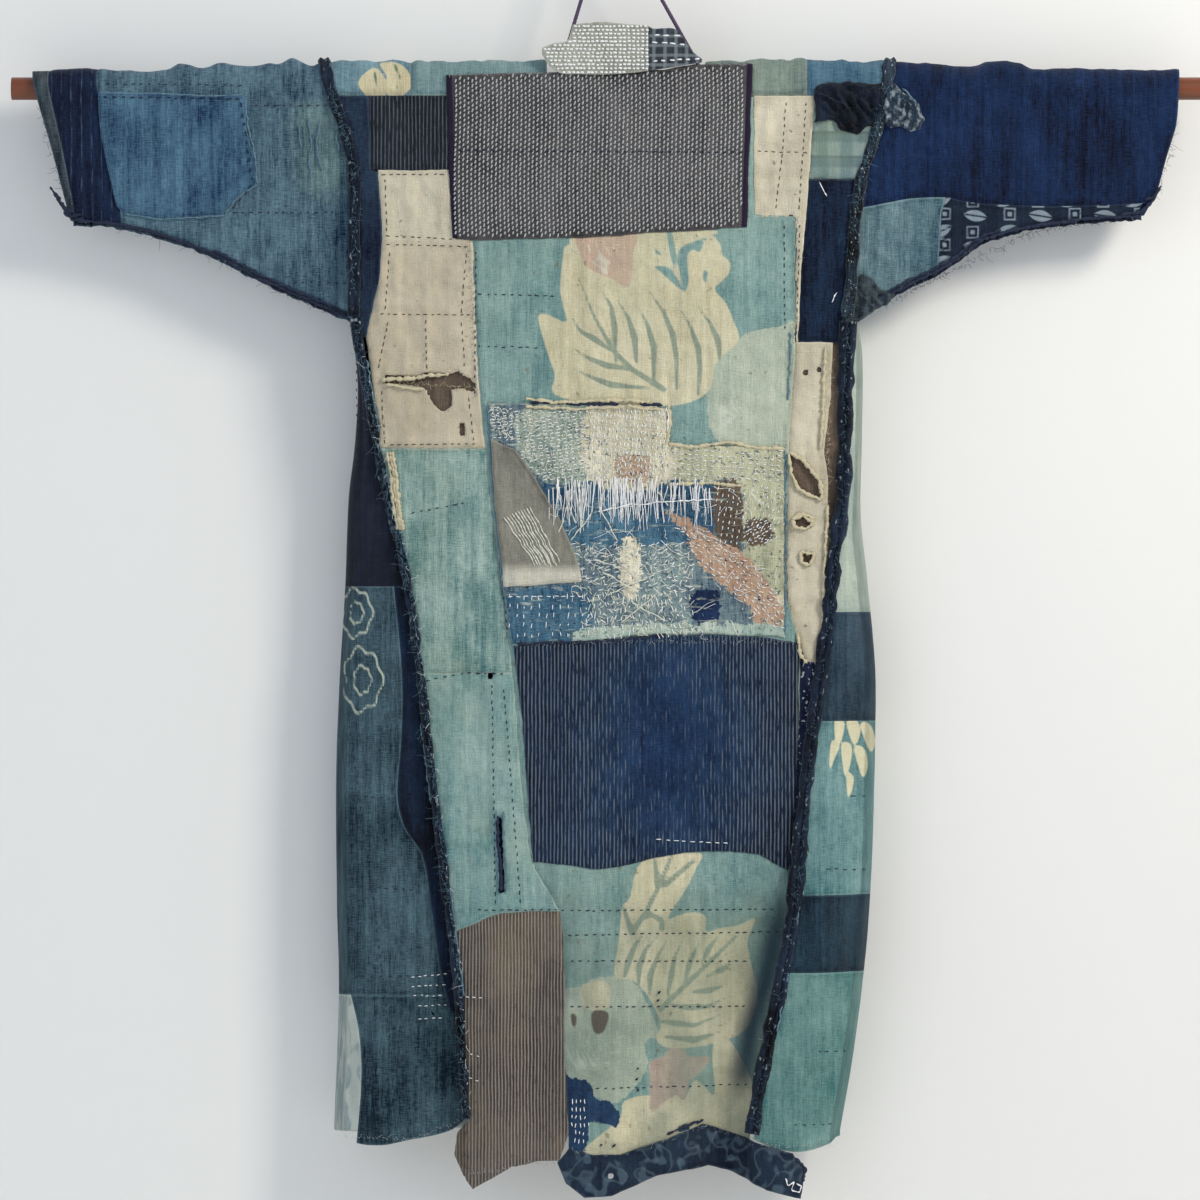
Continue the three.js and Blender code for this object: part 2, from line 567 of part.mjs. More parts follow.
// A piece of a sleeve between two places along it. Its back may end above the sleeve's lower edge.
function sleevePiece(cloth, direction, { from, to, foot = atX(-1), columns = steps(0, 1, 2), out = 0 }) {
  const place = (round, t, thin) => {
    const s = lerp(from(Math.abs(round)), to(Math.abs(round)), t);
    const share = (-round - FOLD_SHARE) / (1 - FOLD_SHARE);
    const u = share > 0 ? lerp(-FOLD_SHARE, foot(s), share) : round;
    const { point, out: normal } = cloth(s, u);
    return point.addScaledVector(normal, out - thin);
  };
  const rows = direction < 0 ? back(SLEEVE_U) : SLEEVE_U;
  const grid = (thin) => rows.map((round) => columns.map((t) => place(round, t, thin)));
  return wall(grid(0), grid(CLOTH));
}
const cuffEnd = (u) => lerp(0.06, 0.02, u);
const bandEnd = (u) => lerp(0.225, 0.18, u);
const LONG = steps(0, 1, 5);
const after = (edge) => (u) => edge(u) + 0.0015;
add("sleeve_left_cuff", sleevePiece(leftSleeve, -1, { from: atX(0), to: cuffEnd, columns: [0, 1] }), SLATE);
add("sleeve_left_band", sleevePiece(leftSleeve, -1, { from: after(cuffEnd), to: bandEnd }), NAVY);
add("sleeve_left", sleevePiece(leftSleeve, -1, { from: after(bandEnd), to: atX(1), columns: LONG }), INDIGO);

// The patch on the left sleeve's back, cut from the sleeve's own surface moved out by one layer.
const patchSheet = solidOf(
  sleevePiece(leftSleeve, -1, { from: after(bandEnd), to: atX(1), columns: LONG, out: PITCH }),
);
add("sleeve_left_patch", cutFrom(patchSheet, [
  [-558, -7], [-548, -90], [-535, -138], [-500, -144], [-430, -140], [-418, -124], [-392, -104],
  [-394, -60], [-402, -12], [-412, -7],
]), FADED);

// The right sleeve's navy panel covers its top and front; two smaller cloths finish its back below.
const panelFoot = through([[0, -0.93], [0.3, -0.91], [0.55, -0.83], [0.71, -0.7], [1, -0.64]]);
const PANEL_ENDS = [0, 0.3, 0.55, 0.71, 0.85, 1];
const ONE_SEAM = 0.002; // a seam's gap as a share of the sleeve's length or of its girth
add("sleeve_right", sleevePiece(rightSleeve, 1, { from: atX(0), to: atX(1), foot: panelFoot, columns: PANEL_ENDS }), NAVY);
const belowPanel = (s) => panelFoot(s) - ONE_SEAM;
function lowerCloth(places) {
  const grid = (thin) =>
    [0, 0.5, 1].map((t) => back(places).map((s) => {
      const { point, out } = rightSleeve(s, lerp(belowPanel(s), -1, t));
      return point.addScaledVector(out, -thin);
    }));
  return wall(grid(0), grid(CLOTH));
}
add("sleeve_right_motif", lowerCloth([0.03, ...PANEL_ENDS.slice(1, 3), PANEL_ENDS[3] - ONE_SEAM]), INK);
add("sleeve_right_square", lowerCloth(PANEL_ENDS.slice(3)), FADED);

// ---------------------------------------------------------------- raw seams

// The raw edges of a seam: a strip that follows the seam and stands out of the cloth.
function ribbon(places) {
  const grid = (side) => places.map(({ x, y, z, reach, across }) => reach.map((r) => new THREE.Vector3(
    x + across[0] * side * SEAM_HALF, y + across[1] * side * SEAM_HALF + r[0], z + r[1],
  )));
  return wall(grid(1), grid(-1));
}
function sideSeam(seam, flank, top, bottom) {
  return ribbon(heights(top, bottom).map((z) => {
    const cloths = [backDepth(seam(z), z), -flank(0, z).point.y];
    const deep = Math.min(...cloths) - 2 * CLOTH;
    const proud = Math.max(...cloths) + SEAM_STAND;
    return { x: seam(z), y: 0, z, reach: [[-proud, 0], [-deep, 0]], across: [1, 0] };
  }));
}
add("seam_side_left", sideSeam(leftSeam, leftCloth, SIDE_TOP, -1136), INK);
add("seam_side_right", sideSeam(rightSeam, rightCloth, SIDE_TOP, -1150), INK);

// Round an armhole, from the back's armpit over the shoulder to the front's.
function armholeSeam(seam) {
  const stand = SEAM_STAND * 0.6;
  const backRun = back(heights(0, ARMPIT + 2)).map((z) => ({ z, y: -belly(z), out: [-1, 0] }));
  const over = FOLD_ANGLES.slice(1, -1).map((a) => ({
    z: SHOULDER_TOP * Math.cos(a), y: FOLD_DEPTH * Math.sin(a), out: [Math.sin(a), Math.cos(a)],
  }));
  const frontRun = heights(0, ARMPIT + 2).map((z) => ({ z, y: frontLift(z), out: [1, 0] }));
  return ribbon([...backRun, ...over, ...frontRun].map(({ z, y, out }) => ({
    x: seam(z), y, z, across: [1, 0],
    reach: [[-out[0] * CLOTH, -out[1] * CLOTH], [out[0] * stand, out[1] * stand]],
  })));
}
add("seam_armhole_left", armholeSeam(leftSeam), INK);
add("seam_armhole_right", armholeSeam(rightSeam), INK);

// Under a sleeve the raw edges hang between the two layers of cloth.
function sleeveSeam(cloth, direction) {
  const places = steps(0.02, 0.985, 12).map((s) => {
    const { point } = cloth(s, -1);
    return { x: point.x, y: 0, z: point.z, across: [0, -1], reach: [[0, -6], [0, 6]] };
  });
  return ribbon(direction < 0 ? places : back(places));
}
add("seam_sleeve_left", sleeveSeam(leftSleeve, -1), INK);
add("seam_sleeve_right", sleeveSeam(rightSleeve, 1), INK);

// ---------------------------------------------------------------- collar behind the neck

// The band stands up from the back's neckline and leans towards the wall.
const COLLAR_LAYER = 2 * PITCH;
const collarFoot = through([[-78, 40], [-66, 28], [-35, 17], [0, 14], [35, 17], [100, 27]]);
const collarTop = through([[-78, 43], [-52, 57], [-43, 71], [38, 69], [46, 65], [72, 63], [86, 42], [100, 30]]);
function collarBand(xFrom, xTo, columns) {
  const across = steps(xFrom, xTo, columns);
  const grid = (thin) =>
    back(steps(0, 1, 3)).map((t) => across.map((x) => {
      const z = lerp(collarFoot(x), collarTop(x), t);
      const lean = 0.3 * Math.max(0, z - 30);
      return new THREE.Vector3(x, -(FOLD_DEPTH + COLLAR_LAYER - lean - thin), z);
    }));
  return wall(grid(0), grid(CLOTH));
}
const plaidStart = 40;
add("collar_back_stitched", collarBand(-77, plaidStart - SEAM_GAP, 10), OFF_WHITE);
add("collar_back_plaid", collarBand(plaidStart, 99, 6), SLATE);

const part = new THREE.Group();
part.add(COAT);
export default part;
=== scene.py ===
# A patched boro coat, inside out, hung by its sleeves on a wooden rod that a cord carries. Its back is
# many worn cottons, most of them indigo, sewn edge to edge, with patches on them, running stitches over
# them and raw seams that stand out.
import math

import bpy
import numpy as np
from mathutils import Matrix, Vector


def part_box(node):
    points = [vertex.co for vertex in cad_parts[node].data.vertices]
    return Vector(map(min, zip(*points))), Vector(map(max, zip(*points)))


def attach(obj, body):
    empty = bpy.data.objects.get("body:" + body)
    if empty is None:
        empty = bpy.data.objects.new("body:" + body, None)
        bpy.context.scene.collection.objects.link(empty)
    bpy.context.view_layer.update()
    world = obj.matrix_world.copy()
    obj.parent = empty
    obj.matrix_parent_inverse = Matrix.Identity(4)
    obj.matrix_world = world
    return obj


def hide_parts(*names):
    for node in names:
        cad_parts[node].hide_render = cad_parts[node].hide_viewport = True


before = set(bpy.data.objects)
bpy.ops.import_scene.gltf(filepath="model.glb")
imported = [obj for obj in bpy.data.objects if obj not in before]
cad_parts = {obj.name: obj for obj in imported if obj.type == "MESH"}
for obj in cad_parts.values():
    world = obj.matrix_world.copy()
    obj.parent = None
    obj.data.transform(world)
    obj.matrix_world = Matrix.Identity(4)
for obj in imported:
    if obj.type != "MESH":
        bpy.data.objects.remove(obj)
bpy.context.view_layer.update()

# ------------------------------------------------------------------ frame, camera and light
# Lengths are in millimetres until a mesh is made. z = 0 is the rod's axis, so a height is a drop below
# it, and the coat's back looks along -Y. The camera stands square to the back, about at its middle.

rod_low, rod_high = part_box("rod")
ROD_Z = (rod_low.z + rod_high.z) / 2
ROD_R = (rod_high.z - rod_low.z) / 2 * 1000

scene = bpy.context.scene
camera = bpy.data.objects.new("Camera", bpy.data.cameras.new("Camera"))
scene.collection.objects.link(camera)
camera.location = (-0.0132, -7.03, ROD_Z - 0.5649)
camera.rotation_euler = (math.radians(90), 0, 0)
camera.data.lens = 36 * 7.0 / 1.32
scene.camera = camera


def paint(code):
    """A colour such as "24355c" as linear light."""
    c = np.array([int(code[i:i + 2], 16) for i in (0, 2, 4)]) / 255
    return np.where(c > 0.04045, ((c + 0.055) / 1.055) ** 2.4, c / 12.92)


def rgba(code):
    return (*paint(code), 1.0)


def light(name, size, place, target, watts, colour):
    lamp = bpy.data.lights.new(name, "AREA")
    lamp.shape = "RECTANGLE"
    lamp.size, lamp.size_y = size
    lamp.energy = watts
    lamp.color = paint(colour)
    obj = bpy.data.objects.new(name, lamp)
    obj.location = place
    way = np.array(target) - np.array(place)
    obj.rotation_euler = (math.acos(-way[2] / np.linalg.norm(way)), 0, math.atan2(way[0], -way[1]) + math.pi)
    obj.rotation_euler.rotate_axis("Z", math.pi)
    scene.collection.objects.link(obj)


light("Key", (0.9, 0.9), (2.3, -2.0, 1.3), (0, 0, -0.7), 83, "fff7ea")
light("Fill", (2.4, 2.4), (-2.2, -2.8, -0.2), (0, 0, -0.7), 14, "eef3ff")
light("Back", (1.6, 1.6), (-1.6, 2.8, 0.5), (0, 0, -0.7), 70, "f4f6ff")
scene.world = bpy.data.worlds.new("Studio")
scene.world.use_nodes = True
scene.world.node_tree.nodes["Background"].inputs["Color"].default_value = rgba("dce8f6")
scene.world.node_tree.nodes["Background"].inputs["Strength"].default_value = 0.68
scene.view_settings.view_transform = "Standard"


def plane(name, corners, material):
    mesh = bpy.data.meshes.new(name)
    mesh.from_pydata(corners, [], [(0, 1, 2, 3)])
    obj = bpy.data.objects.new(name, mesh)
    obj.data.materials.append(material)
    scene.collection.objects.link(obj)
    return obj


# The wall and the floor. The wall doesn't show from behind.
stage_paint = bpy.data.materials.new("stage_paint")
stage_paint.use_nodes = True
tree = stage_paint.node_tree
tree.nodes["Principled BSDF"].inputs["Base Color"].default_value = rgba("e8e7e4")
tree.nodes["Principled BSDF"].inputs["Roughness"].default_value = 0.9
tree.nodes["Principled BSDF"].inputs["Specular IOR Level"].default_value = 0.1
clear = tree.nodes.new("ShaderNodeBsdfTransparent")
facing = tree.nodes.new("ShaderNodeNewGeometry")
either = tree.nodes.new("ShaderNodeMixShader")
tree.links.new(facing.outputs["Backfacing"], either.inputs[0])
tree.links.new(tree.nodes["Principled BSDF"].outputs[0], either.inputs[1])
tree.links.new(clear.outputs[0], either.inputs[2])
tree.links.new(either.outputs[0], tree.nodes["Material Output"].inputs["Surface"])
floor_z = ROD_Z - 1.55
wall = plane("wall", [(-5, 0.06, floor_z), (5, 0.06, floor_z), (5, 0.06, 2.5), (-5, 0.06, 2.5)], stage_paint)
plane("floor", [(-5, -5, floor_z), (5, -5, floor_z), (5, 5, floor_z), (-5, 5, floor_z)], stage_paint)
wall.visible_shadow = False

# ------------------------------------------------------------------ the coat's form
# The back is a height field that bellies out from the rod to the hem. The sides wrap from it round to
# the fronts, which hang behind the rod. The sleeves fold over the rod, with a short lower edge.


def curve(pairs):
    """A smooth curve through (at, value) pairs: cubic between neighbours, with each point's slope that
    of the line between its own two neighbours, and level beyond the ends."""
    a, v = np.array(sorted(pairs), float).T
    i = np.arange(len(a))
    up, down = np.minimum(i + 1, len(a) - 1), np.maximum(i - 1, 0)
    slope = (v[up] - v[down]) / (a[up] - a[down])

    def at(x):
        x = np.clip(x, a[0], a[-1])
        k = np.clip(np.searchsorted(a, x, side="right") - 1, 0, len(a) - 2)
        span = a[k + 1] - a[k]
        t = (x - a[k]) / span
        swing = span * (slope[k] * (1 - t) - slope[k + 1] * t)
        return v[k] + (v[k + 1] - v[k]) * t * t * (3 - 2 * t) + swing * t * (1 - t)

    return at


def mix(a, b, t):
    return a + (b - a) * t


def step(low, high, x):
    """0 below low, 1 above high, smooth between."""
    t = np.clip((x - low) / (high - low), 0, 1)
    return t * t * (3 - 2 * t)


def swell(distance, width):
    return np.exp(-((distance / width) ** 2))


def unit(vectors):
    """Each vector at length 1."""
    return vectors / np.maximum(np.linalg.norm(vectors, axis=-1, keepdims=True), 1e-6)


LATTICE = np.random.default_rng(7).random((256, 256))


def cloud(x, z, size):
    """Smooth random heights from 0 to 1, with lumps about that size."""
    u, v = np.asarray(x, float) / size + 640, np.asarray(z, float) / size + 640
    i, j = np.floor(u).astype(int), np.floor(v).astype(int)
    s, t = u - i, v - j
    s, t = s * s * (3 - 2 * s), t * t * (3 - 2 * t)
    low = mix(LATTICE[i % 256, j % 256], LATTICE[(i + 1) % 256, j % 256], s)
    high = mix(LATTICE[i % 256, (j + 1) % 256], LATTICE[(i + 1) % 256, (j + 1) % 256], s)
    return mix(low, high, t)


FOLD = 19.5  # from the rod's axis to the cloth's face in front of it and behind it
SHOULDER = 31  # the top of the cloth over the rod, at the shoulders
YOKE = -9  # the shoulder strips' lower edge
ARMPIT = -255
HALF_SEAM = 2.4

left_seam = curve([
    (51, -320), (0, -311), (-51, -293), (-102, -284), (ARMPIT, -283), (-330, -270), (-440, -250),
    (-520, -230), (-620, -214), (-740, -200), (-900, -180), (-1000, -168), (-1140, -160),
])
right_seam = curve([
    (51, 312), (0, 302), (-51, 291), (-102, 274), (-153, 268), (-300, 258), (-440, 255), (-520, 245),
    (-600, 237), (-700, 222), (-800, 210), (-900, 200), (-1000, 183), (-1100, 162), (-1160, 152),
])
left_side = curve([
    (ARMPIT, -291), (-300, -283), (-340, -281), (-400, -285), (-450, -291), (-550, -295), (-650, -301),
    (-760, -305), (-900, -304), (-1000, -302), (-1140, -307),
])
right_side = curve([
    (ARMPIT, 272), (-300, 277), (-400, 276), (-470, 275), (-540, 282), (-640, 291), (-720, 291),
    (-860, 287), (-960, 280), (-1070, 266), (-1150, 252),
])
belly = curve([(0, FOLD), (-60, FOLD), (-260, 23), (-600, 34), (-900, 48), (-1220, 60)])
roll_off = curve([(-60, 0), (-300, 4), (-600, 9), (-1220, 12)])
fold_depth = curve([(-450, 0), (-860, 8), (-1220, 13)])
deep_fold = curve([(-780, 0), (-900, 12), (-1000, 22), (-1220, 18)])
front_lift = curve([(0, FOLD), (-300, 19), (-700, 21), (-1160, 24)])

# Creases as (from x, z, to x, z, width, height): a ridge where the height is positive.
CREASES = np.array([
    (-330, -130, -300, -240, 7, -3), (-352, -150, -318, -245, 10, 2), (-75, -975, -92, -1030, 9, -4),
    (-60, -960, -84, -1030, 10, 2.5), (390, -5, 412, 22, 8, 3), (380, -45, 510, -42, 9, -1.6),
    (-215, -420, -190, -640, 26, 2.2), (-165, -520, -140, -820, 22, -1.8),
    (-275, -620, -262, -1120, 20, 2.5), (-238, -850, -222, -1140, 18, -2), (262, -620, 258, -860, 14, -2),
    (240, -900, 225, -1150, 20, 2.5), (-20, -900, -8, -1150, 20, 1.5), (40, -620, 46, -850, 30, -1.5),
    (-62, -630, -50, -850, 24, 1.5), (130, -620, 128, -840, 26, 1.8), (-230, -150, -225, -300, 14, -1.2),
    (-120, -1000, -118, -1180, 16, 2), (-150, -960, -152, -1180, 10, -2), (-400, -170, -300, -235, 9, 2),
    (-520, -60, -430, -110, 18, -1.2), (180, -200, 176, -340, 18, 1.5), (-470, 20, -462, -20, 8, 3),
    (-347, 28, -350, -30, 9, 3), (-380, -20, -372, -130, 12, 1.5), (330, -60, 345, -120, 14, -1.5),
    (560, -20, 575, -90, 16, 1.5),
])


def relief(x, z):
    """The creases, and the puckers that rows of stitches pull into the cloth."""
    total = 2.4 * (cloud(x, z, 46) - 0.5) + 2.2 * (cloud(x + 90, z, 17) - 0.5)
    total = total + 1.9 * (cloud(x, z + 50, 7.5) - 0.5)
    total = total + 2.2 * (cloud(x * 0.4 + 900, z * 2.2, 22) - 0.5)
    total = total + 2.8 * (cloud(x * 2.4 + 70, z * 0.4, 20) - 0.5)
    for ax, az, bx, bz, width, height in CREASES:
        span = np.array([bx - ax, bz - az], float)
        t = ((x - ax) * span[0] + (z - az) * span[1]) / (span @ span)
        inside_t = np.clip(t, 0, 1)
        away = np.hypot(x - ax - inside_t * span[0], z - az - inside_t * span[1])
        total = total + height * swell(away, width)
    return total


def back_depth(x, z):
    """How far the back's cloth stands in front of the rod's axis."""
    middle, half = (left_seam(z) + right_seam(z)) / 2, (right_seam(z) - left_seam(z)) / 2
    across = np.clip((x - middle) / half, -1.15, 1.15)
    folds = swell(x + 30, 45) - 0.8 * swell(x - 95, 48) + 0.5 * swell(x + 125, 34) - 0.6 * swell(x + 80, 20)
    under_seam = swell(x - right_seam(z) + 30, 30)
    return belly(z) - roll_off(z) * across**4 + fold_depth(z) * folds - deep_fold(z) * under_seam


def front_depth(x, z):
    ripple = 2.5 * step(-300, -1160, z)
    return front_lift(z) + np.sin(x / 38 + 0.6) * ripple


def side_form(seam, edge, direction, at_seam, at_edge):
    """One side's cloth. In (u, z), u runs from the seam to the outer edge over 0 to 1, turns half round
    an ellipse over 1 to 2 and runs along the wall to the front's seam over 2 to 3."""
    def limits(z):
        start = seam(z) + direction * HALF_SEAM
        room = np.abs(edge(z) - start)
        turn = np.minimum(12, 0.45 * room)
        return start, room, turn

    def near(x, z):
        start, room, turn = limits(z)
        u = np.clip((x - start) / (edge(z) - direction * turn - start), 0, 1)
        return mix(at_seam(z), at_edge(z), u * u) + 0.05 * room * np.sin(np.pi * u)

    def place(u, z):
        start, room, turn = limits(z)
        inner = edge(z) - direction * turn
        x1 = mix(start, inner, u)
        half = (front_depth(edge(z), z) + at_edge(z)) / 2
        angle = (u - 1.5) * np.pi
        x2 = edge(z) - direction * turn * (1 - np.cos(angle))
        y2 = front_depth(edge(z), z) - half + half * np.sin(angle)
        x3 = mix(inner, direction * 105.4, np.clip(u - 2, 0, 1))
        y3 = front_depth(x3, z)
        x = np.where(u <= 1, x1, np.where(u <= 2, x2, x3))
        y = np.where(u <= 1, -near(x1, z), np.where(u <= 2, y2, y3))
        return x, y

    return near, place


left_near, left_place = side_form(
    left_seam, left_side, -1,
    curve([(ARMPIT, 14), (-600, 20), (-900, 24), (-1160, 30)]), curve([(ARMPIT, 8), (-600, 9), (-1160, 12)]),
)
right_near, right_place = side_form(
    right_seam, right_side, 1,
    curve([(ARMPIT, 22), (-600, 33), (-900, 50), (-1160, 58)]), curve([(ARMPIT, 8), (-600, 11), (-1160, 22)]),
)


def sleeve_form(cuff, armhole, top, bottom):
    """One sleeve. s runs from the cuff to the armhole, u from the back's lower edge (-1) over the rod (0)
    to the front's lower edge (1). The fold over the rod is part of an ellipse, the rest hangs inwards."""
    def near(x, z):
        s = (x - cuff(z)) / (armhole(z) - cuff(z))
        share = np.clip(z / bottom(s), 0, 1)
        over = np.clip(z / top(s), 0, 1)
        return np.where(z < 0, mix(FOLD, 4.4, share**1.5), FOLD * np.sqrt(1 - over**2))

    def place(s, u):
        side, reach = np.where(u < 0, -1, 1), np.abs(u)
        share = np.clip((reach - 0.25) / 0.75, 0, 1)
        angle = np.minimum(reach / 0.25, 1) * np.pi / 2
        z = np.where(reach < 0.25, top(s) * np.cos(angle), bottom(s) * share)
        y = side * np.where(reach < 0.25, FOLD * np.sin(angle), mix(FOLD, 4.4, share**1.5))
        return mix(cuff(z), armhole(z), s), y, z

    return near, place


sleeve_l_near, sleeve_l_place = sleeve_form(
    curve([(22, -640), (0, -637), (-60, -620), (-110, -607), (-150, -597)]),
    lambda z: left_seam(z) - HALF_SEAM,
    curve([
        (0, 20), (0.2, 22), (0.3, 20), (0.45, 20), (0.515, 27), (0.577, 23), (0.65, 28), (0.755, 25),
        (0.81, 28), (0.85, 27), (0.895, 32), (0.96, 26), (1, 31),
    ]),
    curve([(0, -146), (0.2, -152), (0.45, -176), (0.7, -214), (1, ARMPIT)]),
)
sleeve_r_near, sleeve_r_place = sleeve_form(
    curve([(22, 626), (-40, 622), (-75, 612), (-118, 600), (-140, 588)]),
    lambda z: right_seam(z) + HALF_SEAM,
    curve([
        (0, 21), (0.19, 21), (0.38, 22), (0.506, 21), (0.553, 27), (0.616, 30), (0.725, 24), (0.85, 27),
        (0.944, 29), (1, 30),
    ]),
    curve([(0, -140), (0.3, -148), (0.55, -166), (0.68, -196), (0.85, -224), (1, ARMPIT)]),
)


def near_depth(x, z):
    """The depth of whatever cloth of the back's side is at (x, z), without its relief."""
    x, z = np.broadcast_arrays(np.asarray(x, float), np.asarray(z, float))
    strip = (z > 0) & ((x < -184) | (x > 156))
    above = np.where(strip, FOLD * np.sqrt(np.clip(1 - (z / SHOULDER) ** 2, 0, 1)), back_depth(x, z))
    on_left = np.where(z > ARMPIT - 4, sleeve_l_near(x, z), left_near(x, z))
    on_right = np.where(z > ARMPIT - 4, sleeve_r_near(x, z), right_near(x, z))
    return np.where(x < left_seam(z), on_left, np.where(x > right_seam(z), on_right, above))


# ------------------------------------------------------------------ shared cloth effects

def put(tree, kind, links=None, **settings):
    """Adds a shader node, sets its properties, and links or sets its inputs."""
    made = tree.nodes.new("ShaderNode" + kind)
    for key, value in settings.items():
        setattr(made, key, value)
    for key, value in (links or {}).items():
        if isinstance(value, bpy.types.NodeSocket):
            tree.links.new(value, made.inputs[key])
        else:
            made.inputs[key].default_value = value
    return made


def maths(tree, operation, *values, clamp=False):
    made = put(tree, "Math", dict(enumerate(values)), operation=operation, use_clamp=clamp)
    return made.outputs[0]


def new_group(name, inputs, outputs):
    made = bpy.data.node_groups.new(name, "ShaderNodeTree")
    for label, kind, default in inputs:
        socket = made.interface.new_socket(label, in_out="INPUT", socket_type="NodeSocket" + kind)
        if default is not None:
            socket.default_value = default
    for label, kind in outputs:
        made.interface.new_socket(label, in_out="OUTPUT", socket_type="NodeSocket" + kind)
    return made, made.nodes.new("NodeGroupInput").outputs, made.nodes.new("NodeGroupOutput").inputs


def noise_at(tree, vector, scale, detail=2.0, rough=0.55):
    """Noise whose lumps are 1 / scale metres along the cloth's two directions."""
    spread = put(tree, "Mapping", {"Vector": vector, "Scale": (*scale, 1)})
    made = put(tree, "TexNoise", {"Vector": spread.outputs[0], "Scale": 1, "Detail": detail,
                                  "Roughness": rough})
    return made.outputs[0]


# Uneven hand-spun threads both ways: Shade is lighter and darker threads about 0.5, Height their relief.
weave, g_in, g_out = new_group("weave", [("Cloth", "Vector", None)],
                               [("Shade", "Float"), ("Height", "Float")])
warp = noise_at(weave, g_in["Cloth"], (950, 90))
weft = noise_at(weave, g_in["Cloth"], (110, 900))
slubs = noise_at(weave, g_in["Cloth"], (190, 7), 4.0, 0.7)
grain = noise_at(weave, g_in["Cloth"], (900, 900), 1.0)
both = maths(weave, "ADD", warp, weft)
weave.links.new(maths(weave, "MULTIPLY_ADD", both, 0.3, maths(weave, "MULTIPLY", slubs, 0.4)), g_out["Shade"])
weave.links.new(maths(weave, "MULTIPLY_ADD", grain, 0.8, both), g_out["Height"])

# Where a cloth is worn pale: broad clouds with a mottle in them, about 0.5.
wear, g_in, g_out = new_group("wear", [("Cloth", "Vector", None)], [("Faded", "Float")])
broad = noise_at(wear, g_in["Cloth"], (9, 7), 3.0, 0.6)
mottle = noise_at(wear, g_in["Cloth"], (36, 20), 6.0, 0.7)
wear.links.new(maths(wear, "MULTIPLY_ADD", mottle, 0.4, maths(wear, "MULTIPLY", broad, 0.6)), g_out["Faded"])

# Stripes across the cloth's first direction: Line is 1 on a line of that share of the pitch, broken
# where the dye has worn.
stripes, g_in, g_out = new_group("stripes", [
    ("Cloth", "Vector", None), ("Pitch", "Float", 0.0036), ("Share", "Float", 0.35), ("Broken", "Float", 0.3),
], [("Line", "Float")])
wander = noise_at(stripes, g_in["Cloth"], (34, 12), 3.0)
first = put(stripes, "SeparateXYZ", {0: g_in["Cloth"]}).outputs[0]
shifted = maths(stripes, "MULTIPLY_ADD", wander, 0.0036, first)
wave = maths(stripes, "PINGPONG", maths(stripes, "DIVIDE", shifted, g_in["Pitch"]), 0.5)
edge = maths(stripes, "SUBTRACT", maths(stripes, "MULTIPLY", g_in["Share"], 0.5), wave)
crisp = maths(stripes, "MULTIPLY_ADD", edge, 9.0, 0.5, clamp=True)
gaps = maths(stripes, "SUBTRACT", noise_at(stripes, g_in["Cloth"], (500, 60)), g_in["Broken"])
shown = maths(stripes, "MULTIPLY", gaps, 5.0, clamp=True)
stripes.links.new(maths(stripes, "MULTIPLY", crisp, shown), g_out["Line"])


APART = 1.3  # how far apart a cotton's two tones are moved, as a share


def apart(deep, pale):
    """Two tones moved apart about their middle, in linear light."""
    deep, pale = np.array(rgba(deep)), np.array(rgba(pale))
    half = APART * (pale - deep) / 2
    middle = (pale + deep) / 2
    return [tuple(np.clip(tone, 0, 1)) for tone in (middle - half, middle + half)]


CONTRAST = 1.9  # of every cotton's threads and clouds


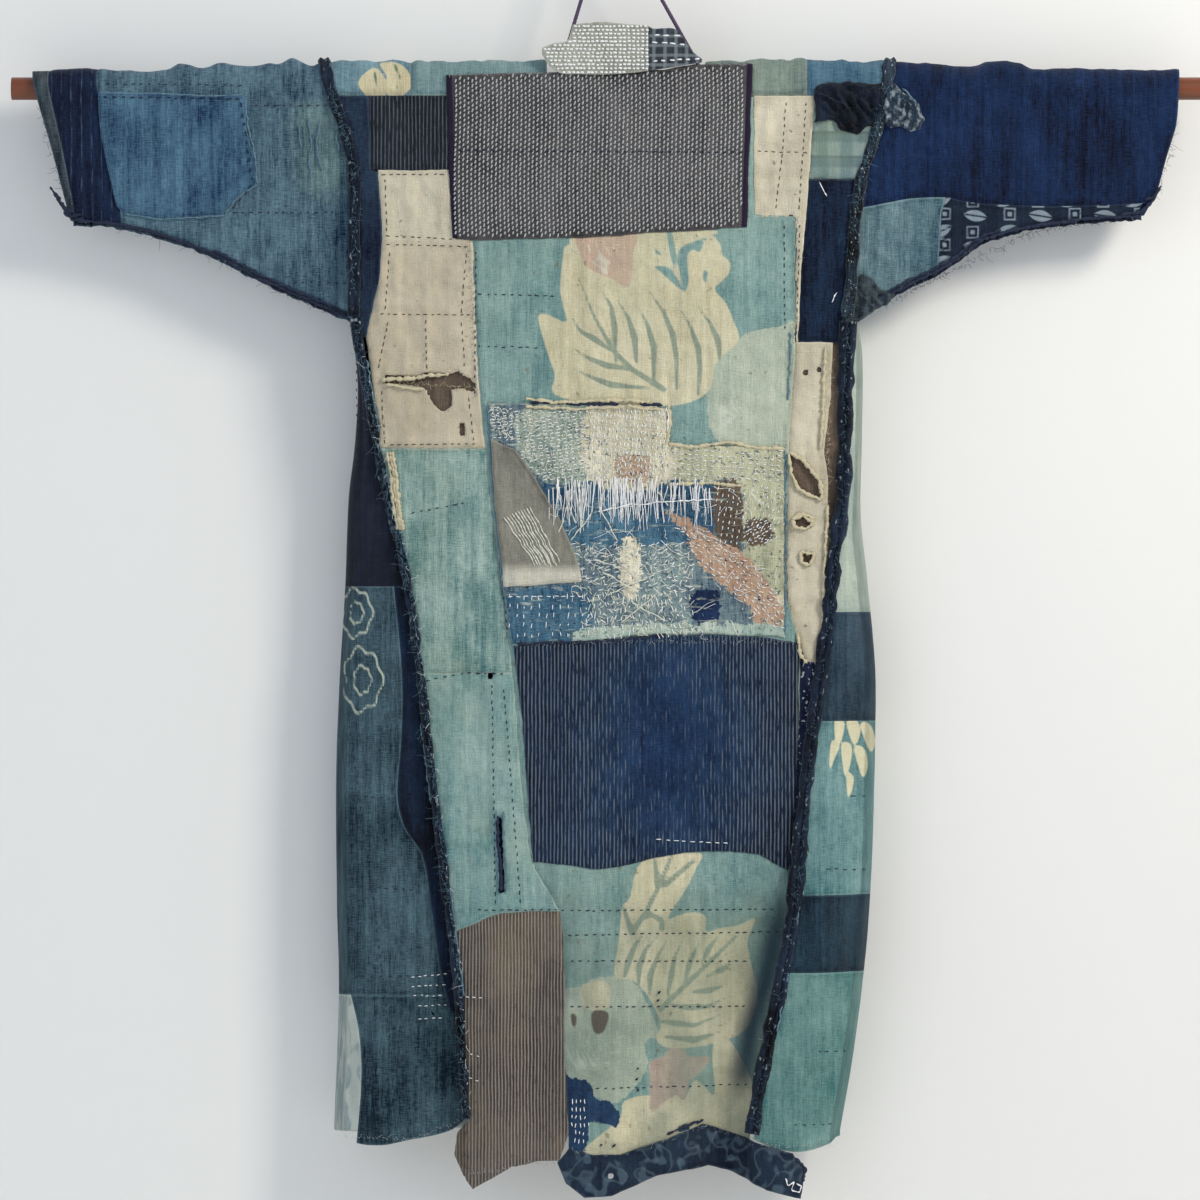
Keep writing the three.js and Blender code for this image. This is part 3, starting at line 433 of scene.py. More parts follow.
class Cotton:
    """A cotton's material. It goes between a deep and a pale tone with wear and with each thread.
    print() lays a further colour, or a deep and a pale one, over it where a mask is 1. mark(), ragged()
    and specks() print on a mask of their own."""

    def __init__(self, name, deep, pale, fade, streak, cloudy, bump=0.8):
        streak, cloudy = CONTRAST * streak, CONTRAST * cloudy
        self.material = bpy.data.materials.new(name)
        self.material.use_nodes = True
        self.tree = self.material.node_tree
        self.bsdf = self.tree.nodes["Principled BSDF"]
        self.uv = put(self.tree, "UVMap", uv_map="cloth").outputs[0]
        woven = put(self.tree, "Group", {0: self.uv}, node_tree=weave)
        worn = put(self.tree, "Group", {0: self.uv}, node_tree=wear)
        self.shade, self.height, self.faded = woven.outputs[0], woven.outputs[1], worn.outputs[0]
        # Each piece is worn pale at its very rim. For about 8 mm in from its edge it is darkened: painted
        # shade where the pieces meet.
        rim = self.sum(self.value("border"), -0.5, 1.3, clamp=True)
        edge_shade = self.sum(self.value("border"), -0.14, 1.2, clamp=True)
        worn_rim_and_edge_shade = self.sum(edge_shade, -0.16, self.sum(rim, 0.42, fade - 0.5 * streak - 0.5 * cloudy))
        threads = self.sum(self.shade, streak, worn_rim_and_edge_shade)
        self.tone = self.sum(self.faded, cloudy, threads, clamp=True)
        self.colour = self.blend(self.tone, *apart(deep, pale))
        self.bsdf.inputs["Roughness"].default_value = 0.92
        self.bsdf.inputs["Specular IOR Level"].default_value = 0.15
        self.bsdf.inputs["Sheen Weight"].default_value = 0.08
        bumped = put(self.tree, "Bump", {"Height": self.height, "Distance": 0.0012, "Strength": bump})
        self.tree.links.new(bumped.outputs[0], self.bsdf.inputs["Normal"])
        self.tree.links.new(self.colour, self.bsdf.inputs["Base Color"])

    def sum(self, value, times, plus, clamp=False):
        return maths(self.tree, "MULTIPLY_ADD", value, times, plus, clamp=clamp)

    def blend(self, factor, a, b):
        return put(self.tree, "Mix", {0: factor, 6: a, 7: b}, data_type="RGBA").outputs[2]

    def value(self, attribute):
        return put(self.tree, "Attribute", attribute_name=attribute).outputs["Fac"]

    def noise(self, scale, low, high, detail):
        """0 where a noise is below low, 1 above high."""
        made = noise_at(self.tree, self.uv, scale, detail)
        return self.sum(made, 1 / (high - low), -low / (high - low), clamp=True)

    def stripe(self, pitch, share, broken, turned=False):
        vector = self.uv
        if turned:
            vector = put(self.tree, "Mapping",
                         {"Vector": self.uv, "Rotation": (0, 0, math.pi / 2)}).outputs[0]
        inputs = {"Cloth": vector, "Pitch": pitch, "Share": share, "Broken": broken}
        return put(self.tree, "Group", inputs, node_tree=stripes).outputs[0]

    def print(self, mask, deep, pale=None, strength=1.0):
        ink = rgba(deep) if pale is None else self.blend(self.tone, *apart(deep, pale))
        if strength != 1.0:
            mask = self.sum(mask, strength, 0.0)
        self.colour = self.blend(mask, self.colour, ink)
        self.tree.links.new(self.colour, self.bsdf.inputs["Base Color"])

    def mark(self, attribute, width, wobble, *ink, **more):
        """Prints where that distance in mm is positive, with an edge that wide. wobble wears the edge."""
        value = self.value(attribute)
        if wobble:
            value = self.sum(self.faded, wobble, maths(self.tree, "SUBTRACT", value, wobble / 2))
        self.print(self.sum(value, 1 / width, 0.5, clamp=True), *ink, **more)

    def ragged(self, attribute, reach, *ink):
        """Prints where that distance in mm is positive, with an edge of threads that reach that far."""
        value = self.value(attribute)
        threads = noise_at(self.tree, self.uv, (170, 60), 4.0, 0.7)
        other = noise_at(self.tree, self.uv, (60, 190), 4.0, 0.7)
        both = maths(self.tree, "ADD", threads, other)
        torn = self.sum(both, 2 * reach, maths(self.tree, "SUBTRACT", value, 2 * reach))
        self.print(self.sum(torn, 0.9, 0.5, clamp=True), *ink)

    def specks(self, scale, low, high, detail, ink, strength=1.0):
        self.print(self.noise(scale, low, high, detail), ink, strength=strength)


def rounded(outline):
    """A closed outline with a smooth curve through its points, each side of it cut in four."""
    p = np.array(outline, float)
    before, after, next_after = np.roll(p, 1, 0), np.roll(p, -1, 0), np.roll(p, -2, 0)
    t = (np.arange(4) / 4)[None, :, None]
    p, before, after, next_after = (v[:, None] for v in (p, before, after, next_after))
    bend = 2 * p + (after - before) * t + (2 * before - 5 * p + 4 * after - next_after) * t**2
    return ((bend + (3 * p - before - 3 * after + next_after) * t**3) / 2).reshape(-1, 2)


def inside(x, z, outline):
    """The distance in mm to an outline's edge, positive within it."""
    x, z = np.broadcast_arrays(np.asarray(x, float), np.asarray(z, float))
    best, odd = np.full(x.shape, 1e9), np.zeros(x.shape, bool)
    points = np.array(outline, float)
    for (ax, az), (bx, bz) in zip(points, np.roll(points, -1, 0)):
        dx, dz = bx - ax, bz - az
        t = np.clip(((x - ax) * dx + (z - az) * dz) / (dx * dx + dz * dz), 0, 1)
        best = np.minimum(best, np.hypot(x - ax - t * dx, z - az - t * dz))
        if dz:
            crosses = ((az > z) != (bz > z)) & (x < dx * (z - az) / dz + ax)
            odd ^= crosses
    return np.where(odd, best, -best)


def spaced(points, count):
    """That many points evenly along a line of straight runs."""
    points = np.array(points, float)
    run = np.concatenate([[0], np.cumsum(np.linalg.norm(np.diff(points, axis=0), axis=1))])
    at = np.linspace(0, run[-1], count)
    return np.stack([np.interp(at, run, points[:, k]) for k in range(points.shape[1])], axis=1)


def length_of(points):
    return np.linalg.norm(np.diff(np.array(points, float), axis=0), axis=1).sum()


def panel(top, right, bottom, left, pitch):
    """A Coons patch: rows and columns blend the four edges. top and bottom run to the right, left and
    right run down without their ends."""
    left, right = [top[0], *left, bottom[0]], [top[-1], *right, bottom[-1]]
    columns = max(3, round(max(length_of(top), length_of(bottom)) / pitch) + 1)
    rows = max(3, round(max(length_of(left), length_of(right)) / pitch) + 1)
    t, b, l, r = spaced(top, columns), spaced(bottom, columns), spaced(left, rows), spaced(right, rows)
    u, v = np.linspace(0, 1, columns)[None, :, None], np.linspace(0, 1, rows)[:, None, None]
    corners = mix(mix(t[0], t[-1], u), mix(b[0], b[-1], u), v)
    grid = mix(t[None], b[None], v) + mix(l[:, None], r[:, None], u) - corners
    x, z = grid[..., 0], grid[..., 1]

    def wander(shift):
        return 1.4 * (cloud(x + shift, z, 17) - 0.5) + 0.7 * (cloud(z + shift, x, 5) - 0.5)

    return x + wander(0), z + wander(300)


def border(x, y, z):
    """The distance in mm from each point of a grid to the grid's own edge, along rows and columns."""
    points = np.stack([x, y, z], -1)
    along = np.linalg.norm(np.diff(points, axis=1), axis=2).cumsum(1)
    down = np.linalg.norm(np.diff(points, axis=0), axis=2).cumsum(0)
    along = np.pad(along, ((0, 0), (1, 0)))
    down = np.pad(down, ((1, 0), (0, 0)))
    return np.minimum(np.minimum(along, along[:, -1:] - along), np.minimum(down, down[-1:] - down))


SMALLEST_CUT = 0.011  # metres
SMALLEST_SHARE = 0.31  # of its flat box that a piece of cloth fills at least
OUTSIDE = -99.0  # mm, further from every outline than matters
LAYER = 2.4  # mm from one layer of cloth to the next
FINE = 3.4  # mm between the points of a piece of a side or a sleeve


def make_mesh(name, points, faces, material, slot=None):
    """points in mm with z from the rod's axis."""
    mesh = bpy.data.meshes.new(name)
    placed = np.array(points, float) / 1000 + (0, 0, ROD_Z)
    mesh.from_pydata(placed, [], faces)
    mesh.polygons.foreach_set("use_smooth", np.ones(len(mesh.polygons), bool))
    mesh.materials.append(material)
    obj = bpy.data.objects.new(name, mesh)
    scene.collection.objects.link(obj)
    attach(obj, "root")
    return obj


def cloth(name, cotton, x, y, z, slot, node=None, ending="_cloth", held="hung", uv=None, cut=None,
          values=None, spots=None, flip=False, thick=1.0):
    """A sheet of cloth on a grid of points in mm, whose rows run down and columns run to the right as
    seen from outside. Faces are left out where cut is over 0. values are functions of (x, z), or of
    spots, that each make a further value per point. Without an ending it stands for no solid."""
    number = np.arange(x.size).reshape(x.shape)
    a, b, c, d = number[:-1, :-1], number[1:, :-1], number[1:, 1:], number[:-1, 1:]
    quads = np.stack([d, c, b, a] if flip else [a, b, c, d], -1).reshape(-1, 4)
    if cut is not None:
        quads = quads[cut.ravel()[quads].mean(1) <= 0]
    grid = np.stack([x, y, z], -1)
    obj = make_mesh(name + ending, grid.reshape(-1, 3), quads, cotton.material)
    mesh = obj.data
    flat = np.stack(uv or (x, z), -1).reshape(-1, 2) / 1000
    corner = np.zeros(len(mesh.loops), int)
    mesh.loops.foreach_get("vertex_index", corner)
    mesh.uv_layers.new(name="cloth").data.foreach_set("uv", flat[corner].ravel())
    made = {"border": border(x, y, z)}
    made.update((key, make(*(spots or (x, z)))) for key, make in (values or {}).items())
    for key, value in made.items():
        layer = mesh.attributes.new(key, "FLOAT", "POINT")
        layer.data.foreach_set("value", np.asarray(value, float).ravel())
    shell = obj.modifiers.new("Thickness", "SOLIDIFY")
    shell.thickness, shell.offset = thick / 1000, -1
    grid = grid / 1000
    points = grid.reshape(-1, 3)[quads]
    area = np.linalg.norm(np.cross(points[:, 2] - points[:, 0], points[:, 3] - points[:, 1]),
                          axis=1).sum() / 2
    wide = np.linalg.norm(np.diff(grid, axis=1), axis=2).sum(1).max()
    tall = np.linalg.norm(np.diff(grid, axis=0), axis=2).sum(0).max()
    wide, tall = max(round(wide, 3), SMALLEST_CUT), max(round(tall, 3), SMALLEST_CUT)
    area = min(max(area, SMALLEST_SHARE * wide * tall), wide * tall)
    if ending:
        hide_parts(node or name)


def sewn_rim(edge):
    """How far a patch rises at its rim, which a row of stitches pulls down."""
    return 1.1 * swell(edge - 2.5, 1.8) - 1.6 * np.exp(-edge / 2.5)


def on_back(name, cotton, edges, layer=0, pitch=3.6, lift=0.0, holes=(), bare=(), **more):
    """A panel of the back from its four edges, on layer 0 to 2 of cloth. A patch is sewn down at its rim.
    A hole's edge is pulled to its outline."""
    x, z = panel(*edges, pitch)
    cut = np.full(x.shape, OUTSIDE)
    for hole in holes:
        ragged = 1.6 * (cloud(x, z, 4) - 0.5)
        room = inside(x, z, hole) + ragged
        slope_x = inside(x + 0.5, z, hole) - inside(x - 0.5, z, hole)
        slope_z = inside(x, z + 0.5, hole) - inside(x, z - 0.5, hole)
        close = np.abs(room) < 0.6 * pitch
        x, z = np.where(close, x - room * slope_x, x), np.where(close, z - room * slope_z, z)
        cut = np.maximum(cut, np.where(close, 0, room))
    for block in bare:
        cut = np.maximum(cut, inside(x, z, block))
    edge = border(x, z * 0, z)
    rim = sewn_rim(edge) - 0.8 * swell(edge - 7, 3)
    sewn = layer * LAYER + lift + (rim if layer else -1.2 * swell(edge, 2.5))
    y = -(near_depth(x, z) + sewn + relief(x, z))
    cloth(name, cotton, x, y, z, cut=cut, **more)


def skin(x, z, lift=0.0):
    """Points in mm on the back's side of the coat, lifted off it."""
    x, z = np.broadcast_arrays(np.asarray(x, float), np.asarray(z, float))
    return np.stack([x, -(near_depth(x, z) + relief(x, z) + lift), z], -1)


def thread_paint(name, code, rough=0.9):
    material = bpy.data.materials.new(name)
    material.use_nodes = True
    tree = material.node_tree
    place = put(tree, "TexCoord").outputs["Object"]
    mottled = put(tree, "TexNoise", {"Vector": place, "Scale": 160, "Detail": 2}).outputs[0]
    tint = maths(tree, "MULTIPLY_ADD", mottled, 0.9, 0.1, clamp=True)
    shaded = (*0.72 * paint(code), 1)
    colour = put(tree, "Mix", {0: tint, 6: shaded, 7: rgba(code)}, data_type="RGBA")
    tree.links.new(colour.outputs[2], tree.nodes["Principled BSDF"].inputs["Base Color"])
    tree.nodes["Principled BSDF"].inputs["Roughness"].default_value = rough
    return material


WHITE_THREAD = thread_paint("thread_white", "ffffff")
PALE_THREAD = thread_paint("thread_pale", "e2e2d2")
BROWN_THREAD = thread_paint("thread_brown", "4a3a30")
DARK_THREAD = thread_paint("thread_dark", "1c2740")
BLUE_THREAD = thread_paint("thread_blue", "5f7f90")
GREY_THREAD = thread_paint("thread_grey", "b9bcbc")
CREAM_THREAD = thread_paint("thread_cream", "cfc4a4")


def spindles(starts, ends, radius):
    """Points and faces of one short thick thread per start and end: a point, two rings of four, a point."""
    along = unit(ends - starts)
    out = unit(np.cross(along, np.cross(np.array([0, -1.0, 0]), along)))
    aside = np.cross(along, out)
    turns = [radius * (out * math.cos(a) + aside * math.sin(a)) for a in np.arange(4) * math.pi / 2]
    near, far = mix(starts, ends, 0.22), mix(starts, ends, 0.78)
    points = np.stack([starts, *[near + t for t in turns], *[far + t for t in turns], ends], 1)
    ring = range(4)
    triangles = [(0, 1 + (i + 1) % 4, 1 + i) for i in ring] + [(9, 5 + i, 5 + (i + 1) % 4) for i in ring]
    triangles += [(1 + i, 1 + (i + 1) % 4, 5 + (i + 1) % 4) for i in ring]
    triangles += [(1 + i, 5 + (i + 1) % 4, 5 + i) for i in ring]
    base = np.arange(len(starts))[:, None, None] * 10
    return points.reshape(-1, 3), (np.array(triangles)[None] + base).reshape(-1, 3)


chance = np.random.default_rng(11)


def running(line, stitch, gap, wobble=0.35, keep=1.0):
    """The starts and ends in (x, z) of running stitches along a line, a little uneven."""
    count = max(1, int(length_of(line) / (stitch + gap)))
    points = spaced(line, 4 * count + 1)
    at = (np.arange(count) + 0.5 + chance.uniform(-0.12, 0.12, count)) / count
    half = stitch / (stitch + gap) / count / 2 * chance.uniform(0.75, 1.2, count)
    share = np.linspace(0, 1, len(points))
    pick = [np.interp(at + side * half, share, points[:, k]) for side in (-1, 1) for k in (0, 1)]
    ends = np.stack(pick, -1).reshape(count, 2, 2) + chance.normal(0, wobble, (count, 2, 2))
    return ends[chance.random(count) < keep]


def sew(name, material, runs, lift, radius, slot="off_white"):
    """One mesh of all the stitches in runs, each an array of starts and ends in (x, z)."""
    runs = np.concatenate(runs)
    starts, ends = skin(*runs[:, 0].T, lift - 0.3), skin(*runs[:, 1].T, lift - 0.3)
    middle = skin(*mix(runs[:, 0], runs[:, 1], 0.5).T, lift)
    rise = (middle - mix(starts, ends, 0.5))[:, 1:2] * np.array([0, 1, 0])
    make_mesh(name, *spindles(starts + rise, ends + rise, radius), material, slot)


def sew_on(surface, name, material, runs, lift, radius, slot="off_white"):
    """Like sew, on another surface than the back's. surface gives y at each (x, z), with the lift added."""
    runs = np.concatenate(runs)
    ends = [np.stack([x, surface(x, z, lift), z], 1) for x, z in (runs[:, 0].T, runs[:, 1].T)]
    make_mesh(name, *spindles(*ends, radius), material, slot)


def strands(name, material, starts, ways, length, radius=0.28, curl=0.5, slot="off_white"):
    """One mesh of loose threads in mm. Each leaves its start in its own way, then bends at random."""
    count, steps = len(starts), 6
    length = np.broadcast_to(length, count) * chance.uniform(0.4, 1.25, count)
    bend = chance.normal(0, curl, (count, 3)) * np.array([1, 0.35, 1])
    bend2 = chance.normal(0, curl, (count, 3)) * np.array([1, 0.35, 1])
    t = np.linspace(0, 1, steps)[None, :, None]
    path = unit(ways)[:, None] * t + bend[:, None] * t * t * 0.8
    path = path + bend2[:, None] * np.sin(np.pi * 2 * t) * 0.16
    path = starts[:, None] + path * length[:, None, None]
    along = unit(np.gradient(path, axis=1))
    out = unit(np.cross(along, np.array([0.2, 1.0, 0.1])))
    aside = np.cross(along, out)
    taper = radius * (1 - 0.5 * t)
    rings = [path + taper * (out * math.cos(a) + aside * math.sin(a)) for a in (0, 2.094, 4.189)]
    points = np.stack(rings, 2).reshape(-1, 3)
    faces = [(j * 3 + k, j * 3 + (k + 1) % 3, j * 3 + 3 + (k + 1) % 3, j * 3 + 3 + k)
             for j in range(steps - 1) for k in range(3)]
    base = np.arange(count)[:, None, None] * steps * 3
    make_mesh(name, points, (np.array(faces)[None] + base).reshape(-1, 4), material, slot)


def fray(name, material, lines, spacing, length, lift, slot="off_white"):
    """Threads that stand off lines on the back's side, to either side of them."""
    starts, ways = [], []
    for line in lines:
        count = max(2, int(length_of(line) / spacing))
        points = spaced(line, count)
        along = unit(np.gradient(points, axis=0))
        left = np.stack([-along[:, 1], along[:, 0]], 1)
        points = points + chance.normal(0, 0.8, points.shape)
        turn = left * chance.normal(0, 0.7, (count, 1)) + along * chance.normal(0, 0.6, (count, 1))
        starts.append(skin(*points.T, lift))
        ways.append(np.stack([turn[:, 0], -0.25 - 0.2 * chance.random(count), turn[:, 1]], 1))
    strands(name, material, np.concatenate(starts), np.concatenate(ways), length, slot=slot)


# ------------------------------------------------------------------ rod and cord

def tube(name, path, radius, material, slot, sides, ply=0.0, lay=11.0):
    """A round tube along points in mm. ply raises strands that wind once in lay mm."""
    path = np.array(path, float)
    run = np.concatenate([[0], np.cumsum(np.linalg.norm(np.diff(path, axis=0), axis=1))])
    along = unit(np.gradient(path, axis=0))
    out = unit(np.cross(along, np.array([0, 1.0, 0])))
    aside = np.cross(along, out)
    angle = np.arange(sides) * 2 * np.pi / sides
    wide = radius * (1 - ply + ply * np.abs(np.cos(1.5 * (angle[None] - 2 * np.pi * run[:, None] / lay))))
    points = path[:, None] + wide[..., None] * (
        out[:, None] * np.cos(angle)[None, :, None] + aside[:, None] * np.sin(angle)[None, :, None])
    count = len(path)
    faces = [(i * sides + j, i * sides + (j + 1) % sides, (i + 1) * sides + (j + 1) % sides,
              (i + 1) * sides + j)
             for i in range(count - 1) for j in range(sides)]
    faces += [tuple(range(sides))[::-1], tuple((count - 1) * sides + j for j in range(sides))]
    return make_mesh(name, points.reshape(-1, 3), faces, material, slot)


wood = bpy.data.materials.new("wood")
wood.use_nodes = True
place = put(wood.node_tree, "TexCoord").outputs["Object"]
long_way = put(wood.node_tree, "Mapping", {"Vector": place, "Scale": (6, 110, 110)}).outputs[0]
figure = put(wood.node_tree, "TexNoise", {"Vector": long_way, "Scale": 1, "Detail": 5,
                                          "Roughness": 0.65}).outputs[0]
browns = put(wood.node_tree, "Mix", {0: figure, 6: rgba("4a2210"), 7: rgba("8a4a28")},
             data_type="RGBA").outputs[2]
wood.node_tree.links.new(browns, wood.node_tree.nodes["Principled BSDF"].inputs["Base Color"])
wood.node_tree.nodes["Principled BSDF"].inputs["Roughness"].default_value = 0.33
half_rod = (rod_high.x - rod_low.x) * 500
rod_x = np.array([-half_rod, -half_rod + 1.5, *np.linspace(-half_rod + 20, half_rod - 20, 60), half_rod - 1.5,
                  half_rod])
rod = tube("rod_varnished", [(x, 0, 0) for x in rod_x], ROD_R, wood, "wood", sides=72)
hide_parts("rod")

plum = thread_paint("cord_plum", "4b3a58", 0.7)
CORD_R = 2.25
NAIL_TURN = 10
CORD_FOOT = 18
TIE_R = 14.75  # from the rod's axis to the middle of the cord wound on it
TIE_TURNS = 3
TIE_WIDE = 8.8
crown = -ROD_Z * 1000 + CORD_R - NAIL_TURN
legs = []
for tie_x in (-58, 100):
    reach = math.hypot(tie_x, crown - CORD_FOOT)
    lean = math.copysign(math.asin(NAIL_TURN / reach), tie_x)
    legs.append(math.atan2(crown - CORD_FOOT, -tie_x) - lean - math.copysign(math.pi / 2, tie_x))
left_touch, right_touch = legs
if left_touch < right_touch:
    left_touch += 2 * math.pi
arc = np.linspace(left_touch, right_touch, 15)
cord_turn = np.stack([NAIL_TURN * np.cos(arc), arc * 0, crown + NAIL_TURN * np.sin(arc)], 1)
up = mix(np.array([[-58, 0, CORD_FOOT]]), cord_turn[:1], np.linspace(0, 1, 90)[:, None])
down = mix(cord_turn[-1:], np.array([[100, 0, CORD_FOOT]]), np.linspace(0, 1, 90)[:, None])
cord_path = np.concatenate([up, cord_turn[1:-1], down])
cord = tube("cord_twisted", cord_path, CORD_R, plum, "plum", sides=12, ply=0.22, lay=13)
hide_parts("cord")
for node, tie_x in (("cord_tie_left", -58), ("cord_tie_right", 100)):
    t = np.linspace(0, 1, 120)
    turn = 2 * math.pi * TIE_TURNS * t
    wound = np.stack([tie_x + TIE_WIDE * (t - 0.5), TIE_R * np.sin(turn), TIE_R * np.cos(turn)], 1)
    tie = tube(node + "_wound", wound, CORD_R, plum, "plum", sides=10)
    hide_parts(node)
cord_points = cord_path / 1000 + (0, 0, ROD_Z)
cord_length = float(np.linalg.norm(np.diff(cord_points, axis=0), axis=1).sum())
tuple(cord_points[0])
[tuple(p) for p in cord_points]

# ------------------------------------------------------------------ shoulders

def fold_over(name, cotton, x_left, x_right, slot, values=None):
    """A strip of the yoke: up from the wall's side, over the rod, down to the back's edge."""
    angle = np.linspace(np.pi / 2, -np.pi / 2, 26)
    y = np.concatenate([[FOLD], FOLD * np.sin(angle), [-FOLD]])
    z = np.concatenate([[YOKE], SHOULDER * np.cos(angle), [YOKE]])
    columns = max(4, int((x_right(0) - x_left(0)) / 3.5))
    t = np.linspace(0, 1, columns)[None]
    z = np.repeat(z[:, None], columns, 1)
    y = np.repeat(y[:, None], columns, 1)
    x = mix(x_left(z), x_right(z), t)
    rise = relief(x, z)
    swing = 2.2 * (cloud(x, 0, 24) - 0.4) + 1.2 * (cloud(x, 0, 9) - 0.5)
    high = np.clip(z / SHOULDER, 0, 1)
    lean = y / FOLD
    rise = rise - 0.8 * swell(border(x, y, z), 2.5)
    z = z + (rise + swing) * high
    y = y + rise * lean
    cloth(name, cotton, x, y, z, slot, held="folded", values=values,
          uv=(x, 25 * np.repeat(np.linspace(1, -1, x.shape[0])[:, None], columns, 1)))


def fixed(x):
    return lambda z: x + 0 * z


def arm_left(z):
    return left_seam(z) + HALF_SEAM


def arm_right(z):
    return right_seam(z) - HALF_SEAM


def blot(*outlines):
    """A mask of several outlines: mm inside the nearest edge."""
    return lambda x, z: np.max([inside(x, z, rounded(o)) for o in outlines], axis=0)


def stroke(x, z, points, w0, w1):
    """mm inside a brush stroke whose half width goes from w0 to w1."""
    points = np.array(points, float)
    best = np.full(np.shape(x), OUTSIDE)
    for i in range(len(points) - 1):
        a, d = points[i], points[i + 1] - points[i]
        t = np.clip(((x - a[0]) * d[0] + (z - a[1]) * d[1]) / (d @ d), 0, 1)
        wide = mix(w0, w1, (i + t) / (len(points) - 1))
        best = np.maximum(best, wide - np.hypot(x - a[0] - t * d[0], z - a[1] - t * d[1]))
    return best


def bowed(a, b, bow):
    """Points from a to b along an arc that stands bow mm off the straight line, to its left."""
    a, b = np.array(a, float), np.array(b, float)
    t = np.linspace(0, 1, 7)[:, None]
    aside = np.array([-(b - a)[1], (b - a)[0]]) / np.linalg.norm(b - a)
    return a + (b - a) * t + aside * bow * np.sin(np.pi * t)


yoke_print = Cotton("yoke_print", "456878", "86a2a8", 0.45, 1.3, 1.0)
yoke_print.mark("cream", 1.4, 2.0, "b9ae8c", "d8cfae")
yoke_print.mark("vein", 1.0, 0, "6f7f68")
petals = blot(
    [(-279, 8), (-262, 22), (-250, 8), (-252, -12), (-266, -12), (-276, -4)],
    [(-256, 27), (-238, 28), (-226, 20), (-220, 6), (-226, -6), (-240, -12), (-252, -2), (-248, 12)],
)
fold_over("shoulder_left_print", yoke_print, arm_left, fixed(-222), "faded", values={
    "cream": petals,
    "vein": lambda x, z: np.maximum(
        stroke(x, z, [(-262, 16), (-258, 0), (-262, -12)], 1.6, 0.8),
        stroke(x, z, [(-240, 26), (-234, 12), (-238, -6)], 1.8, 0.8),
    ),
})
yoke_teal = Cotton("yoke_teal", "56747a", "92a8a4", 0.5, 1.2, 1.0)
fold_over("shoulder_left_teal", yoke_teal, fixed(-222), fixed(-72), "teal")
yoke_pale = Cotton("yoke_pale", "45585c", "839185", 0.55, 1.2, 1.2)
fold_over("shoulder_right_pale", yoke_pale, fixed(103), fixed(215), "pale")
yoke_blue = Cotton("yoke_blue", "2f5268", "668696", 0.45, 1.3, 1.1)
fold_over("shoulder_right_blue", yoke_blue, fixed(215), arm_right, "faded")

# ------------------------------------------------------------------ the back's panels

middle_left = curve([
    (0, -158), (-150, -154), (-300, -148), (-400, -140), (-520, -125), (-640, -110), (-850, -88),
    (-910, -57), (-1060, -52), (-1165, -47),
])
middle_right = curve([(-140, 203), (-280, 202), (-400, 195), (-560, 192), (-620, 207), (-860, 196)])


def down(edge, top, bottom):
    """Points of an edge curve about 14 mm apart between two heights, without the ends."""
    z = np.linspace(top, bottom, max(3, int(abs(top - bottom) / 14)))[1:-1]
    return list(zip(edge(z), z))


def at(edge, z):
    return (float(edge(z)), z)


leaf_upper = [
    (-81, -251), (-69, -251), (-50, -259), (-55, -237), (-57, -216), (-51, -173), (-38, -188), (-37, -162),
    (114, -158), (82, -173), (73, -184), (75, -205), (80, -226), (84, -214), (83, -186), (90, -179),
    (97, -182), (102, -170), (111, -165), (119, -173), (122, -186), (130, -192), (129, -205), (120, -215),
    (113, -223), (125, -237), (133, -256), (140, -278), (123, -295), (113, -307), (108, -333), (86, -347),
    (48, -352), (-20, -350), (-64, -338), (-63, -318), (-71, -294), (-78, -269),
]
leaf_lower = [
    (34, -851), (96, -843), (93, -858), (79, -886), (60, -916), (70, -912), (87, -908), (103, -912),
    (103, -929), (119, -925), (140, -922), (158, -914), (151, -934), (149, -945), (156, -977), (160, -992),
    (158, -1014), (145, -1040), (111, -1052), (79, -1057), (58, -1055), (48, -1045), (53, -1030),
    (42, -1004), (32, -990), (21, -981), (3, -977), (8, -934), (11, -902), (20, -890),
]
gaps_in_leaf = [
    [(44, -196), (63, -198), (72, -211), (80, -227), (66, -215), (55, -205)],
    [(101, -200), (106, -204), (104, -216), (100, -212)],
    [(60, -158), (66, -158), (72, -190), (70, -205), (64, -185)], [(46, -176), (57, -186), (48, -184)],
]
pale_leaf = [(105, -335), (114, -305), (124, -290), (140, -277), (154, -269), (182, -265), (206, -267),
             (206, -394), (150, -400), (112, -385)]
pale_low = [
    (3, -977), (21, -981), (34, -998), (48, -1030), (50, -1045), (37, -1048), (37, -1082), (8, -1114),
    (-18, -1109), (-50, -1090), (-54, -1000), (-34, -987), (-18, -979),
]
bud = [(-34, -990), (-18, -982), (-3, -987), (-4, -1010), (-18, -1014), (-32, -1010)]
maple = [
    (41, -1072), (58, -1064), (63, -1057), (79, -1058), (84, -1066), (108, -1067), (98, -1082), (85, -1093),
    (79, -1114), (68, -1108), (43, -1126), (42, -1090),
]
pink_upper = [(-37, -164), (25, -160), (23, -184), (19, -220), (-1, -211), (-20, -203), (-30, -195),
              (-35, -182)]
worn_low = [
    (-24, -1159), (8, -1133), (13, -1114), (42, -1108), (42, -1124), (69, -1108), (79, -1114), (90, -1093),
    (100, -1098), (113, -1108), (111, -1056), (132, -1053), (158, -1108), (152, -1140), (150, -1168),
    (100, -1152), (32, -1166), (0, -1182), (-36, -1175),
]
scrap = [
    (-54, -1087), (-47, -1087), (-24, -1093), (-17, -1111), (-3, -1114), (8, -1127), (4, -1142),
    (-24, -1135), (-26, -1156), (-34, -1172), (-54, -1172),
]
